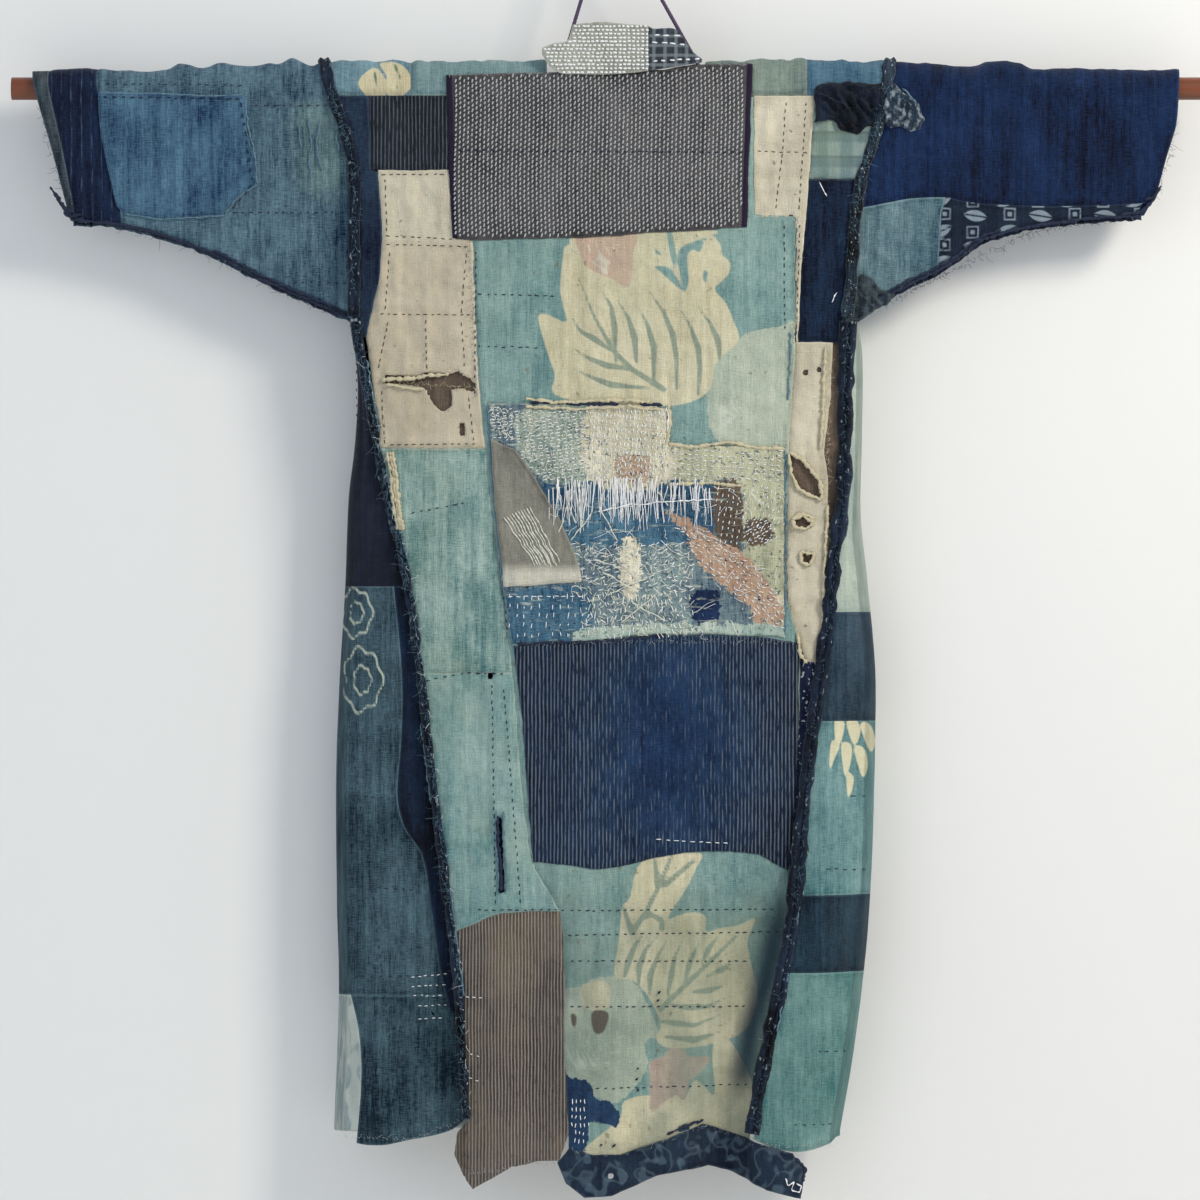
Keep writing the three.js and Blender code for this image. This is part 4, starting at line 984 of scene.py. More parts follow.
midribs = [
    [(-39, -205), (-20, -252), (1, -290), (22, -311), (57, -333)], [(137, -934), (95, -974), (53, -1014)],
    [(65, -847), (53, -876), (37, -908), (22, -929)], [(90, -851), (58, -878)], [(47, -850), (50, -879)],
    [(13, -903), (21, -929)], [(28, -918), (43, -910), (54, -916), (55, -926)],
]
# Each runs from its thin tip; its middle is thickest.
side_veins = [
    [(-12, -224), (-1, -241), (3, -265), (3, -303)], [(5, -233), (18, -254), (25, -277), (27, -303)],
    [(29, -241), (39, -262), (46, -286), (46, -322)],
    [(39, -222), (57, -248), (67, -273), (71, -299), (71, -333)],
    [(74, -243), (86, -263), (95, -288), (97, -311), (95, -339)],
    [(93, -240), (108, -260), (117, -280), (119, -301)],
    [(-45, -252), (-35, -269), (-20, -277), (-1, -290)], [(-45, -286), (-26, -299), (-5, -307), (20, -311)],
    [(-41, -311), (-22, -320), (-1, -328), (42, -332)], [(38, -928), (26, -942), (18, -961), (14, -977)],
    [(50, -934), (37, -948), (30, -966), (29, -987)], [(63, -934), (50, -956), (42, -977), (41, -998)],
    [(80, -934), (69, -956), (65, -977), (61, -998)], [(96, -940), (86, -961), (79, -985)],
    [(117, -934), (106, -948), (99, -963)], [(135, -961), (121, -971), (104, -978)],
    [(127, -987), (106, -994), (90, -995)], [(129, -1000), (106, -1011), (84, -1012), (66, -1010)],
    [(121, -1020), (90, -1032), (69, -1029), (53, -1027)], [(120, -1039), (90, -1048), (58, -1044)],
]


def veins(x, z):
    """The brush strokes of the leaves: even midribs, and side veins that swell in their middles."""
    best = np.full(x.shape, OUTSIDE)
    for line in midribs:
        best = np.maximum(best, stroke(x, z, line, 2.1 if len(line) < 5 else 1.3, 3.2))
    for line in side_veins:
        half = len(line) // 2
        best = np.maximum(best, stroke(x, z, line[:half + 1], 0.6, 3.6))
        best = np.maximum(best, stroke(x, z, line[half:], 3.6, 1.6))
    return best


# The veins' stem at x, z, their first and last angle, length and number.
FANS = (120, -378, 30, 84, 110, 6), (-38, -1080, 5, 105, 82, 8), (-6, -207, 55, 120, 40, 6)


def fan(x, z):
    """Faint veins of the two pale round leaves and of the pink one, fanned from their stems."""
    best = np.full(x.shape, OUTSIDE)
    for cx, cz, first, last, size, count in FANS:
        for angle in np.radians(np.linspace(first, last, count)):
            end = (cx + size * math.cos(angle), cz + size * math.sin(angle))
            best = np.maximum(best, stroke(x, z, bowed((cx, cz), end, 6), 0.8, 0.6))
    return best


def leaf_cream(x, z):
    """Where the print is cream: the leaves without the gaps that show the ground through them."""
    gaps = np.max([inside(x, z, g) for g in gaps_in_leaf], axis=0)
    return np.minimum(blot(leaf_upper, leaf_lower, worn_low, bud)(x, z), -gaps)


def valley_shade(x, z):
    """How deep the fold beside the right seam is, from 0 to 1: where painted shade darkens the cloth in that
    fold.
    """
    away = x - curve([(-860, 196), (-900, 186), (-980, 170), (-1050, 150), (-1110, 142)])(z)
    return swell(away, 15) * step(-860, -930, z) * step(-1125, -1080, z)


teal = Cotton("teal_print", "557b7b", "9bb4ac", 0.5, 1.3, 0.9)
teal.ragged("pale", 3.0, "98a795", "c9ccb8", 0.9)
teal.mark("leaf", 1.6, 2.4, "b8b08f", "dfd8bb")
teal.mark("pink", 2.0, 3.0, "b29283", "cdb09c", 0.75)
teal.mark("fan", 1.2, 0, "d4d8c8", strength=0.6)
teal.mark("vein", 1.6, 3.0, "66796d", "8c9c8c", strength=0.82)
low_clouds = maths(teal.tree, "MULTIPLY", teal.value("low"), teal.noise((16, 11), 0.32, 0.62, 5.0))
teal.print(low_clouds, "5f7064", strength=0.55)
teal.specks((5, 4), 0.5, 0.72, 5.0, "8d9a80", strength=0.35)
teal.specks((90, 75), 0.66, 0.7, 3.0, "6a5f46", strength=0.5)
teal.ragged("scrap", 4.0, "13223c", "2f4c6c")
teal.mark("spot", 2.0, 0, "5a564c")
# Painted shade: the deep fold beside the right seam is darkened to a dark blue-grey.
teal.print(teal.value("valley_shade"), "1c3040", strength=0.88)
MIDDLE_HEM = [(-47, -1172), (0, -1178), (50, -1160), (100, -1148), (150, -1165)]
on_back(
    "back_middle", teal,
    (
        [(-157, 16), (203, 16)],
        [(203, -142), *down(middle_right, -142, -860), at(middle_right, -860), *down(arm_right, -880, -1150)],
        MIDDLE_HEM, down(middle_left, 0, -1165),
    ),
    slot="teal", pitch=3.9,
    bare=[
        [(-300, 40), (-82, 40), (-82, -9), (-300, -9)], [(101, 40), (300, 40), (300, -9), (101, -9)],
        [(156, 40), (300, 40), (300, -141), (156, -141)],
    ],
    holes=[[(60, -1152), (78, -1141), (100, -1136), (84, -1147)],
           [(49, -996), (53, -996), (53, -1000), (49, -1000)],
           [(25, -1087), (30, -1087), (30, -1092), (25, -1092)]],
    values={
        "leaf": leaf_cream, "pink": blot(pink_upper, maple), "pale": blot(pale_leaf, pale_low), "vein": veins,
        "fan": fan, "valley_shade": valley_shade, "low": lambda x, z: step(-850, -930, z), "scrap": blot(scrap),
        "spot": blot([(-22, -1016), (-4, -1017), (-9, -1037), (-20, -1038)],
                     [(-45, -1018), (-39, -1020), (-40, -1032), (-44, -1030)]),
    },
)

navy_strip = Cotton("navy_strip", "121c30", "33495f", 0.35, 1.3, 1.0)
on_back("back_left_navy", navy_strip, (
    [at(arm_left, -9), (-268, -9)], [(-266, -91), (-258, -93), (-253, -168), (-257, -215)],
    [at(arm_left, -275), (-271, -275)], down(arm_left, -9, -275),
), slot="navy")
pinstripe = Cotton("pinstripe", "10151c", "262d37", 0.4, 1.2, 0.9)
pinstripe.print(pinstripe.stripe(0.0042, 0.28, 0.3), "5d666e", strength=0.75)
on_back("back_left_pinstripe", pinstripe, (
    [(-268, -9), (-157, -9)], [], [(-266, -91), (-156, -91)], [],
), slot="ink", holes=[[(-247, -69), (-222, -66), (-192, -62), (-205, -68), (-232, -72)]])
beige = Cotton("beige", "a89f8a", "dad2bb", 0.58, 0.5, 0.9)
beige.mark("lower", 1.5, 0, "a89a84", "d4c8b0", 0.7)
tear = [
    (-254, -322), (-250, -317), (-215, -319), (-205, -315), (-180, -316), (-168, -312), (-162, -318),
    (-150, -327), (-151, -336), (-165, -332), (-177, -333), (-176, -350), (-186, -359), (-193, -353),
    (-199, -345), (-207, -331), (-225, -328), (-250, -326),
]
on_back("back_left_beige", beige, (
    [(-258, -91), (-155, -91)], down(middle_left, -91, -398), [at(arm_left, -398), at(middle_left, -398)],
    [(-253, -168), (-257, -215), (-271, -275), (-266, -310), (-262, -350), (-256, -380)],
), slot="cream", pitch=2.8, values={"lower": lambda x, z: -169 - z},
    holes=[tear, [(-167, -368), (-162, -368), (-162, -384), (-168, -384)]])
brown_grey = Cotton("brown_grey", "4b4038", "7d6c5c", 0.45, 1.2, 1.0)
on_back("back_left_lining", brown_grey, (
    [(-262, -300), (-140, -300)], [], [(-262, -392), (-140, -392)], [],
), slot="brown", ending="", lift=-LAYER, pitch=5,
    holes=[[(-197, -318), (-190, -318), (-189, -352), (-196, -352)]])
teal_strip = Cotton("teal_strip", "557b7a", "a6bbb1", 0.52, 1.6, 1.3)
on_back("back_left_teal_upper", teal_strip, (
    [at(arm_left, -398), at(middle_left, -398)], down(middle_left, -398, -645),
    [at(arm_left, -645), at(middle_left, -645)], down(arm_left, -398, -645),
), slot="teal")
teal_low = Cotton("teal_strip_low", "5b8484", "a2b8b0", 0.52, 1.3, 1.2)
on_back("back_left_teal_lower", teal_low, (
    [at(arm_left, -645), at(middle_left, -645)], down(middle_left, -645, -906),
    [at(arm_left, -930), (-140, -915), (-120, -908), at(middle_left, -906)], down(arm_left, -645, -930),
), slot="teal", pitch=2.6,
    holes=[[(-126, -800), (-121, -800), (-118, -885), (-124, -887)],
           [(-137, -645), (-131, -645), (-131, -652), (-137, -652)]])
brown_stripe = Cotton("brown_stripe", "332c27", "62584f", 0.45, 1.1, 1.0)
brown_stripe.print(brown_stripe.stripe(0.0036, 0.36, 0.22), "9d9690", strength=0.75)
on_back("back_left_brown_stripe", brown_stripe, (
    [at(arm_left, -930), (-140, -915), (-120, -908), at(middle_left, -906)], down(middle_left, -906, -1165),
    [(-153, -1211), (-110, -1186), (-85, -1181), (-58, -1178)],
    [*down(arm_left, -930, -1138), at(arm_left, -1138), (-170, -1150), (-173, -1175), (-165, -1196)],
), slot="brown")

on_back("back_right_beige", beige, (
    [(156, -9), (224, -9)], [(217, -101), (209, -200)], [(156, -281), (205, -281)], [],
), slot="cream", pitch=2.8, bare=[[(100, -142), (202.5, -142), (202.5, -300), (100, -300)]],
    values={"lower": lambda x, z: z * 0 - 9})
checks = Cotton("checks", "66808a", "a4b3a8", 0.5, 1.0, 0.9)
checks.print(checks.stripe(0.026, 0.45, 0.05), "56707c", strength=0.6)
checks.print(checks.stripe(0.028, 0.42, 0.05, turned=True), "4c6672", strength=0.6)
checks.print(checks.stripe(0.026, 0.09, 0.12, turned=True), "26343c", strength=0.6)
on_back("back_right_plaid", checks, (
    [(224, -9), at(arm_right, -9)], down(arm_right, -9, -101), [(217, -101), at(arm_right, -101)], [],
), slot="pale")
navy = Cotton("navy", "071225", "243c5a", 0.3, 1.5, 0.9)
on_back("back_right_navy", navy, (
    [(217, -101), at(arm_right, -101)], down(arm_right, -101, -281), [(205, -281), at(arm_right, -281)],
    [(209, -200)],
), slot="navy")
torn_holes = [
    [(195, -402), (208, -408), (222, -425), (232, -440), (230, -455), (218, -450), (205, -442), (197, -425)],
    [(198, -476), (206, -470), (218, -472), (222, -480), (212, -487), (200, -484)],
    [(206, -512), (222, -514), (218, -526), (208, -524)],
    [(210, -311), (216, -311), (216, -317), (210, -317)],
    [(225, -308), (231, -308), (231, -314), (225, -314)],
]
on_back("back_right_beige_torn", beige, (
    [(202, -281), (243, -281)],
    [(241, -340), (234, -400), (238, -440), (238, -500), (239, -560), (233, -610)],
    [(214, -634), (228, -634)], [*down(middle_right, -281, -600), (205, -610)],
), slot="cream", pitch=2.2, holes=torn_holes, values={"lower": lambda x, z: z * 0 - 9})
on_back("back_right_brown", brown_grey, (
    [(200, -283), at(arm_right, -281)], down(arm_right, -281, -600), [(215, -600), at(arm_right, -600)],
    [(194, -400), (192, -560)],
), slot="brown", lift=-2.2)
specked = Cotton("specked", "161e38", "2c3c5c", 0.35, 1.0, 0.9)
specked.specks((260, 190), 0.62, 0.66, 1.0, "a9b2b0")
on_back("back_right_specked", specked, (
    [(205, -632), at(arm_right, -632)], down(arm_right, -632, -870), [(196, -862), at(arm_right, -870)],
    down(middle_right, -632, -862),
), slot="ink")

# Age has yellowed the pale cloths in clouds and specked them with small brown marks.
for aged in (teal_strip, teal_low, checks):
    aged.specks((6, 5), 0.5, 0.72, 5.0, "8a9878", strength=0.4)
for aged in (beige, brown_stripe):
    aged.specks((11, 9), 0.5, 0.75, 5.0, "97876a", strength=0.35)
    aged.specks((110, 90), 0.68, 0.71, 3.0, "5a4c3a", strength=0.55)

# ------------------------------------------------------------------ patches on the back

SASHIKO_TOP = [(-183, 14), (-60, 16), (0, 16), (60, 20), (90, 25), (155, 26)]
SASHIKO_FOOT = [(-176, -167), (-150, -169), (-35, -166), (60, -160), (149, -154)]
ground = Cotton("sashiko_ground", "353334", "6a6768", 0.4, 1.0, 0.8)
ground.mark("selvedge", 1.0, 0, "241b30")
on_back("patch_sashiko", ground, (
    SASHIKO_TOP, [(152, -60)],
    SASHIKO_FOOT, [(-180, -80)],
), layer=1, slot="grey", values={
    "selvedge": lambda x, z: np.maximum(-176 - 0.035 * z - x, x - 148 - 0.035 * z),
})
boro = Cotton("boro", "2b4960", "8a9d9c", 0.5, 1.7, 1.4)
for key, deep, pale in (
    ("indigo", "1f4260", "5a8296"), ("grey_green", "77887f", "b4beac"), ("yellow_green", "9a9c82", "cdcbac"),
    ("cream", "b9b094", "eee7cf"), ("brown", "4e4238", "766655"), ("pink", "a5856f", "c9ad93"),
    ("deep", "111e38", "20365c"), ("fringe", "8fa79f", "c6cfbf"),
):
    boro.ragged(key, 9.0, deep, pale)
boro.specks((40, 210), 0.58, 0.7, 4.0, "cdd0bd", strength=0.6)
on_back("patch_stitched", boro, (
    [(-137, -348), (190, -352)], [(190, -560)],
    [(-110, -613), (-20, -610), (40, -603), (100, -602), (190, -606)], [(-132, -440), (-122, -540)],
), layer=1, slot="off_white", pitch=2.6,
    bare=[[(60, -330), (230, -330), (230, -397), (60, -395)]],
    holes=[[(45, -349), (57, -349), (57, -354), (45, -353)]],
    values={
        "indigo": blot([(-65, -432), (115, -436), (118, -498), (90, -502), (-40, -505), (-60, -470)],
                       [(-118, -560), (-30, -552), (-30, -614), (-112, -614)]),
        "grey_green": blot([(-100, -356), (-25, -352), (-25, -432), (-70, -434), (-100, -410)]),
        "yellow_green": blot([(62, -397), (195, -397), (195, -500), (142, -500), (138, -438), (62, -432)],
                             [(145, -505), (195, -505), (195, -560), (150, -545)]),
        "cream": blot([(-25, -352), (62, -352), (62, -436), (-25, -434)],
                      [(10, -502), (30, -502), (28, -560), (12, -556)],
                      [(150, -565), (192, -560), (192, -608), (176, -608)]),
        "brown": blot([(112, -440), (140, -438), (142, -505), (118, -506)],
                      [(148, -478), (172, -476), (174, -500), (150, -504)]),
        "pink": blot([(60, -468), (100, -485), (120, -500), (150, -520), (180, -560), (190, -606),
                      (165, -606), (150, -572), (120, -548), (95, -524), (80, -492)],
                      [(5, -408), (40, -408), (40, -432), (5, -430)]),
        "deep": blot([(85, -560), (115, -555), (118, -580), (112, -594), (92, -592)]),
        "fringe": blot([(-20, -594), (190, -592), (190, -612), (-20, -614)]),
    })
grey_patch = Cotton("grey_patch", "67655d", "9b988b", 0.5, 1.0, 1.1)
grey_patch.mark("foot", 12.0, 9.0, "c0bcaa", "e4e0d0", 0.85)
on_back("patch_grey", grey_patch, (
    [(-134, -387), (-106, -400)], [(-86, -428), (-62, -468), (-46, -500), (-35, -530)],
    [(-119, -551), (-75, -548), (-33, -545)], [(-130, -450), (-122, -520)],
), layer=2, slot="grey", pitch=2.5, values={"foot": lambda x, z: -530 - z})
striped = Cotton("striped", "0b1424", "1c2f4a", 0.35, 1.2, 1.0)
striped.print(striped.value("middle"), "152c4c", "345780", 0.85)
worn_lines = striped.sum(striped.value("middle"), 0.3, 0.28)
striped.print(striped.stripe(0.0041, 0.34, worn_lines), "76828e", strength=0.62)
on_back("patch_striped", striped, (
    [(-108, -615), (-60, -612), (-20, -611), (40, -604), (100, -603), (150, -604), (206, -612)],
    [(205, -700), (202, -780), (198, -845)],
    [(-87, -852), (-50, -855), (-22, -860), (10, -857), (45, -848), (80, -842), (130, -841), (160, -845),
     (193, -862)],
    [(-98, -700), (-92, -790)],
), layer=1, slot="navy", values={"middle": lambda x, z: swell(x - 60, 80) * swell(z + 730, 130)})
hem = Cotton("hem", "141f30", "2c3e50", 0.35, 1.2, 1.0)
scribble = hem.sum(noise_at(hem.tree, hem.uv, (34, 30), 1.0), 1.0, -0.5)
hem.print(hem.sum(maths(hem.tree, "ABSOLUTE", scribble), -30.0, 1.0, clamp=True), "6d808a", strength=0.3)
hem.specks((70, 54), 0.54, 0.62, 1.0, "5d7280", strength=0.42)
on_back("hem_band", hem, (
    [(-47, -1164), (-20, -1172), (10, -1172), (60, -1156), (100, -1140), (150, -1157), (198, -1171)],
    [(212, -1190)],
    [(-50, -1204), (-30, -1218), (0, -1217), (20, -1208), (50, -1196), (105, -1187), (130, -1192),
     (170, -1212), (207, -1222)],
    [(-60, -1180)],
), layer=1, slot="navy", holes=[[(-4, -1192), (2, -1192), (2, -1198), (-4, -1198)]])


CRUMPLE = 7.0


def crumpled(name, cotton, outline, lift, ending=""):
    """A torn scrap that bunches up inside an outline: rings that shrink to its middle, over sharp folds."""
    outline = np.array([*outline, outline[0]], float)
    rim, middle = spaced(outline, 90)[:, None], outline[:-1].mean(0)
    out = np.linspace(1, 0.03, 26)[None, :, None]
    x, z = np.moveaxis(middle + (rim - middle) * out, -1, 0)
    x, z = x + 3 * (cloud(x, z, 6) - 0.5), z + 3 * (cloud(x + 80, z, 6) - 0.5)
    turned = 0.8 * x + 0.6 * z
    folds = np.abs(cloud(turned, 0.4 * z, 9) - 0.5)
    folds = folds + 0.6 * np.abs(cloud(0.5 * x + 50, z - 0.4 * x, 6) - 0.5)
    thick = np.minimum(1, 6 * (1.02 - out[..., 0]))
    y = -(near_depth(x, z) + relief(x, z) + lift * thick + CRUMPLE * (1 - 2.2 * folds) * thick)
    cloth(name, cotton, x, y, z, "ink", ending=ending, held="gathered", thick=0.8, flip=True)


torn_dark = Cotton("torn_dark", "080d18", "25344a", 0.35, 1.3, 1.0, bump=1.0)
crumpled("patch_torn_navy", torn_dark, [
    (222, -4), (230, 3), (245, 5), (262, 7), (280, 4), (297, 5), (304, -8), (302, -32), (294, -44),
    (282, -42), (270, -52), (252, -48), (244, -38), (232, -36), (222, -40), (224, -22),
], 3.0, "_cloth")
splotched = Cotton("splotched", "141d2c", "3a4d61", 0.4, 1.2, 1.0, bump=1.0)
splotched.specks((170, 110), 0.5, 0.62, 4.0, "a3b0b6", strength=0.7)
crumpled("torn_bow", splotched, [
    (300, 4), (306, 8), (316, -2), (328, -10), (340, -22), (345, -36), (340, -46), (328, -48), (316, -42),
    (308, -46), (300, -40), (297, -22),
], 4.0)
raw_scrap = Cotton("raw_scrap", "141e2b", "56666f", 0.4, 1.4, 1.3, bump=1.0)
crumpled("armpit_scrap", raw_scrap, [
    (262, -214), (276, -204), (288, -212), (296, -222), (312, -228), (306, -238), (290, -246), (272, -258),
    (256, -262), (252, -240),
], 4.0)

# ------------------------------------------------------------------ fronts, towards the wall

def on_front(name, cotton, edges, slot, mirror, bare=()):
    """A panel of the fronts, or of the other front as its mirror image."""
    x, z = panel(*edges, 7)
    cut = np.full(x.shape, OUTSIDE)
    for block in bare:
        cut = np.maximum(cut, inside(x, z, block))
    turn = -1 if mirror else 1
    x = turn * x
    y = front_depth(x, z) + 0.6 * relief(x, z)
    cloth(name, cotton, x, y, z, slot, cut=cut, flip=not mirror)


front_blue = Cotton("front_blue", "2f4d6b", "5c7d93", 0.45, 1.4, 1.2)
front_slate = Cotton("front_slate", "2c3a4a", "4f6170", 0.45, 1.3, 1.1)
collar_ink = Cotton("collar_ink", "151b2c", "2c3650", 0.4, 1.2, 1.0)
front_faded = Cotton("front_faded", "4c7088", "7f9fae", 0.5, 1.4, 1.2)
for word, mirror, arm, cottons, slots in (
    ("left", False, arm_left, (front_blue, front_slate, collar_ink), ("indigo", "slate", "ink")),
    ("right", True, lambda z: -arm_right(z), (front_faded, front_blue, collar_ink),
     ("faded", "indigo", "ink")),
):
    on_front(f"front_{word}_upper", cottons[0], (
        [at(arm, -9), (-82, -9)], [(-52, -256)], [at(arm, -261), (-52, -261)], down(arm, -9, -261),
    ), slots[0], mirror)
    on_front(f"front_{word}_overlap", cottons[1], (
        [(-105, -261), (-6, -261)], [], [(-105, -1158), (-6, -1158)], [],
    ), slots[1], mirror, bare=[[(-51, -200), (0, -200), (0, -500), (-51, -500)]])
    on_front(f"collar_front_{word}", cottons[2], (
        [(-82, -9), (-38, -9)], [(-6, -200)], [(-50, -500), (-6, -500)], [(-52, -256)],
    ), slots[2], mirror)

# ------------------------------------------------------------------ sides

def side_piece(name, cotton, place, direction, top, foot, slot, start=None, drop=None, values=None):
    """A piece of a side from one height to another, round to the front's seam. start gives x of its inner
    edge, and drop how far its foot sags."""
    u = np.concatenate([np.linspace(0, 1, 26), np.linspace(1, 2, 12)[1:], np.linspace(2, 3, 22)[1:]])[None]
    t = np.linspace(0, 1, max(4, int((top - foot) / 3.6)))[:, None]
    z = mix(top, foot, t) + (drop(u) if drop else 0.0) * t**3
    x_in = place(u * 0, z)[0]
    x_edge = place(u * 0 + 1, z)[0]
    first = 0 * (z + u)
    if start:
        first = np.clip((start(z + 0 * u) - x_in) / (x_edge - x_in), 0, 0.999)
    share = np.where(u <= 1, mix(first, 1, u), u)
    x, y = place(share, z + 0 * u)
    z = z + 0 * x
    bump = relief(x, z) * np.clip(share * 8, 0.2, 1)
    y = y + np.where(share <= 1.5, -bump, 0.6 * bump)
    if direction < 0:
        x, y, z, share = x[:, ::-1], y[:, ::-1], z[:, ::-1], share[:, ::-1]
    cloth(name, cotton, x, y, z, slot, values=values, uv=(x + 400 * np.clip(share - 1, 0, 1), z))


black = Cotton("black_indigo", "11141f", "262c3e", 0.4, 1.2, 1.0)
side_piece("side_left_black", black, left_place, -1, -261, -550, "ink")
indigo_edge = curve([
    (-550, -240), (-650, -231), (-720, -232), (-780, -236), (-815, -228), (-845, -209), (-900, -199),
    (-970, -189), (-1020, -177),
])
strip_navy = Cotton("strip_navy", "0d1626", "223a58", 0.3, 1.2, 0.9)


def x_of_seam(z):
    return left_seam(z) - HALF_SEAM


def near_piece(name, cotton, inner, outer, top, foot, slot, hem=None, **more):
    """A piece of the left side that stays on the back's side, between two edge curves."""
    rows, columns = int((top - foot) / FINE), max(4, int(abs(outer(top) - inner(top)) / FINE))
    v, t = np.linspace(0, 1, rows)[:, None], np.linspace(0, 1, columns)[None]
    z = mix(top, foot, v) + 0 * t
    x = mix(outer(z), inner(z), t)
    if hem:
        z = mix(top, hem(x), v)
        x = mix(outer(z), inner(z), t)
    cloth(name, cotton, x, -(left_near(x, z) + relief(x, z)), z, slot, **more)


near_piece("side_left_strip", strip_navy, x_of_seam, indigo_edge, -550, -1020, "navy")
indigo_side = Cotton("indigo_side", "1c2f3a", "55707a", 0.4, 1.7, 1.3)
indigo_side.mark("scroll", 1.2, 0, "b7bfae", strength=0.9)


def scrolls(x, z):
    """Outlines of two plain cloud scrolls, as lobes round a centre."""
    best = np.full(x.shape, OUTSIDE)
    for cx, cz, wide, tall in ((-282, -579, 17, 26), (-275, -653, 21, 34)):
        angle = np.arctan2((z - cz) / tall, (x - cx) / wide)
        reach = np.hypot((x - cx) / wide, (z - cz) / tall) * (wide + tall) / 2
        line = (wide + tall) / 2 * (1 + 0.08 * np.cos(7 * angle) + 0.05 * np.cos(3 * angle))
        best = np.maximum(best, 1.5 - np.abs(reach - line))
        best = np.maximum(best, 1.4 - np.abs(reach - 0.45 * line))
    return best


def low_edge(z):
    return np.where(z > -1020, indigo_edge(z), x_of_seam(z))


def pale_edge(z):
    return curve([(-1000, -288), (-1040, -279), (-1090, -276), (-1170, -282)])(z)


hem_left = curve([(-310, -1146), (-285, -1162), (-255, -1165), (-220, -1158), (-190, -1152), (-172, -1145),
                  (-160, -1134)])
side_piece("side_left_indigo", indigo_side, left_place, -1, -550, -1000, "indigo", start=indigo_edge,
           values={"scroll": scrolls})
near_piece("side_left_indigo_low", indigo_side, low_edge, pale_edge, -1000, -1160, "indigo",
           node="side_left_indigo", hem=hem_left, values={"scroll": lambda x, z: x * 0 - 9})
pale_side = Cotton("pale_side", "7f9196", "aab4ac", 0.5, 1.2, 1.1)
pale_side.specks((48, 30), 0.52, 0.56, 1.0, "c3c8bd", strength=0.6)
side_piece("side_left_pale", pale_side, left_place, -1, -1000, -1150, "pale", start=pale_edge)

pale_right = Cotton("pale_right", "7f9290", "b6c0b1", 0.5, 1.1, 1.0)
slate_right = Cotton("slate_right", "20323f", "465b6a", 0.4, 1.4, 1.1)
flower_right = Cotton("flower_right", "406a6e", "7fa09f", 0.45, 1.4, 1.2)
flower_right.mark("flower", 1.4, 2.0, "c6c2a4", "d9d3b4")
navy_right = Cotton("navy_right", "12222f", "304d5c", 0.35, 1.4, 1.0)
teal_right = Cotton("teal_right", "44706f", "80a09b", 0.45, 1.3, 1.2)
blossom = blot(*[
    [(x - wide, z), (x - 0.4 * wide, z + 7), (x + wide, z + 2), (x + wide + lean, z - 0.6 * tall),
     (x + lean, z - tall)]
    for x, z, wide, tall, lean in (
        (250, -702, 6, 24, -3), (265, -702, 7, 22, 1), (280, -706, 6, 26, 5), (245, -726, 5, 24, -6),
        (258, -728, 6, 30, -2), (273, -732, 6, 28, 3), (262, -762, 4, 20, -2),
    )
])
right_top = -261
for name, foot, cotton, slot in (
    ("side_right_pale", -578, pale_right, "pale"), ("side_right_slate", -698, slate_right, "slate"),
    ("side_right_flower", -889, flower_right, "teal"), ("side_right_navy", -974, navy_right, "navy"),
    ("side_right_teal", -1156, teal_right, "teal"),
):
    sag = (lambda u: -14 * np.sin(np.pi * np.clip(u / 1.2, 0, 1))) if foot == -1156 else None
    side_piece(name, cotton, right_place, 1, right_top, foot, slot, drop=sag,
               values={"flower": blossom} if "flower" in name else None)
    right_top = foot

# ------------------------------------------------------------------ sleeves

SLEEVE = 330  # mm from the cuff to the armhole


def sleeve_piece(name, cotton, place, first, last, slot, direction, foot=None, values=None):
    """A piece of a sleeve between two places along it, from the wall's lower edge over the rod to the
    back's. foot gives where its back ends at each place along it."""
    reach = np.concatenate([np.linspace(1, 0.25, 20), np.linspace(0.25, -0.25, 22)[1:]])
    share = np.linspace(0, 1, 52)[1:]
    width = abs(last(0.5) - first(0.5)) * SLEEVE
    t = np.linspace(0, 1, max(3, int(width / FINE)))[None]
    u = np.concatenate([reach, -0.25 - 0.75 * share])[:, None]
    s = mix(first(np.abs(u)), last(np.abs(u)), t)
    if foot:
        u = np.where(u < -0.25, -0.25 + (foot(s) + 0.25) * (-(u + 0.25) / 0.75), u)
    u = u + 0 * t
    x, y, z = place(s, u)
    bump = relief(x, z) - 0.7 * swell(border(x, y, z), 2.4)
    out = np.clip(y / FOLD, -1, 1)
    high = np.clip(1 - np.abs(u) / 0.25, 0, 1)
    y = y + bump * np.where(high > 0, out, np.sign(out)) * np.where(u > 0, 0.6, 1)
    z = z + bump * high * 0.6
    if direction > 0:
        x, y, z, u = x[:, ::-1], y[:, ::-1], z[:, ::-1], u[:, ::-1]
    cloth(name, cotton, x, y, z, slot, held="folded", values=values, spots=(x, np.where(u < 0, z, z + 200)),
          uv=(x, np.where(u < 0, z, 60 + 200 * u)))


def cuff_end(reach):
    return mix(0.06, 0.02, reach)


def band_end(reach):
    return mix(0.225, 0.18, reach)


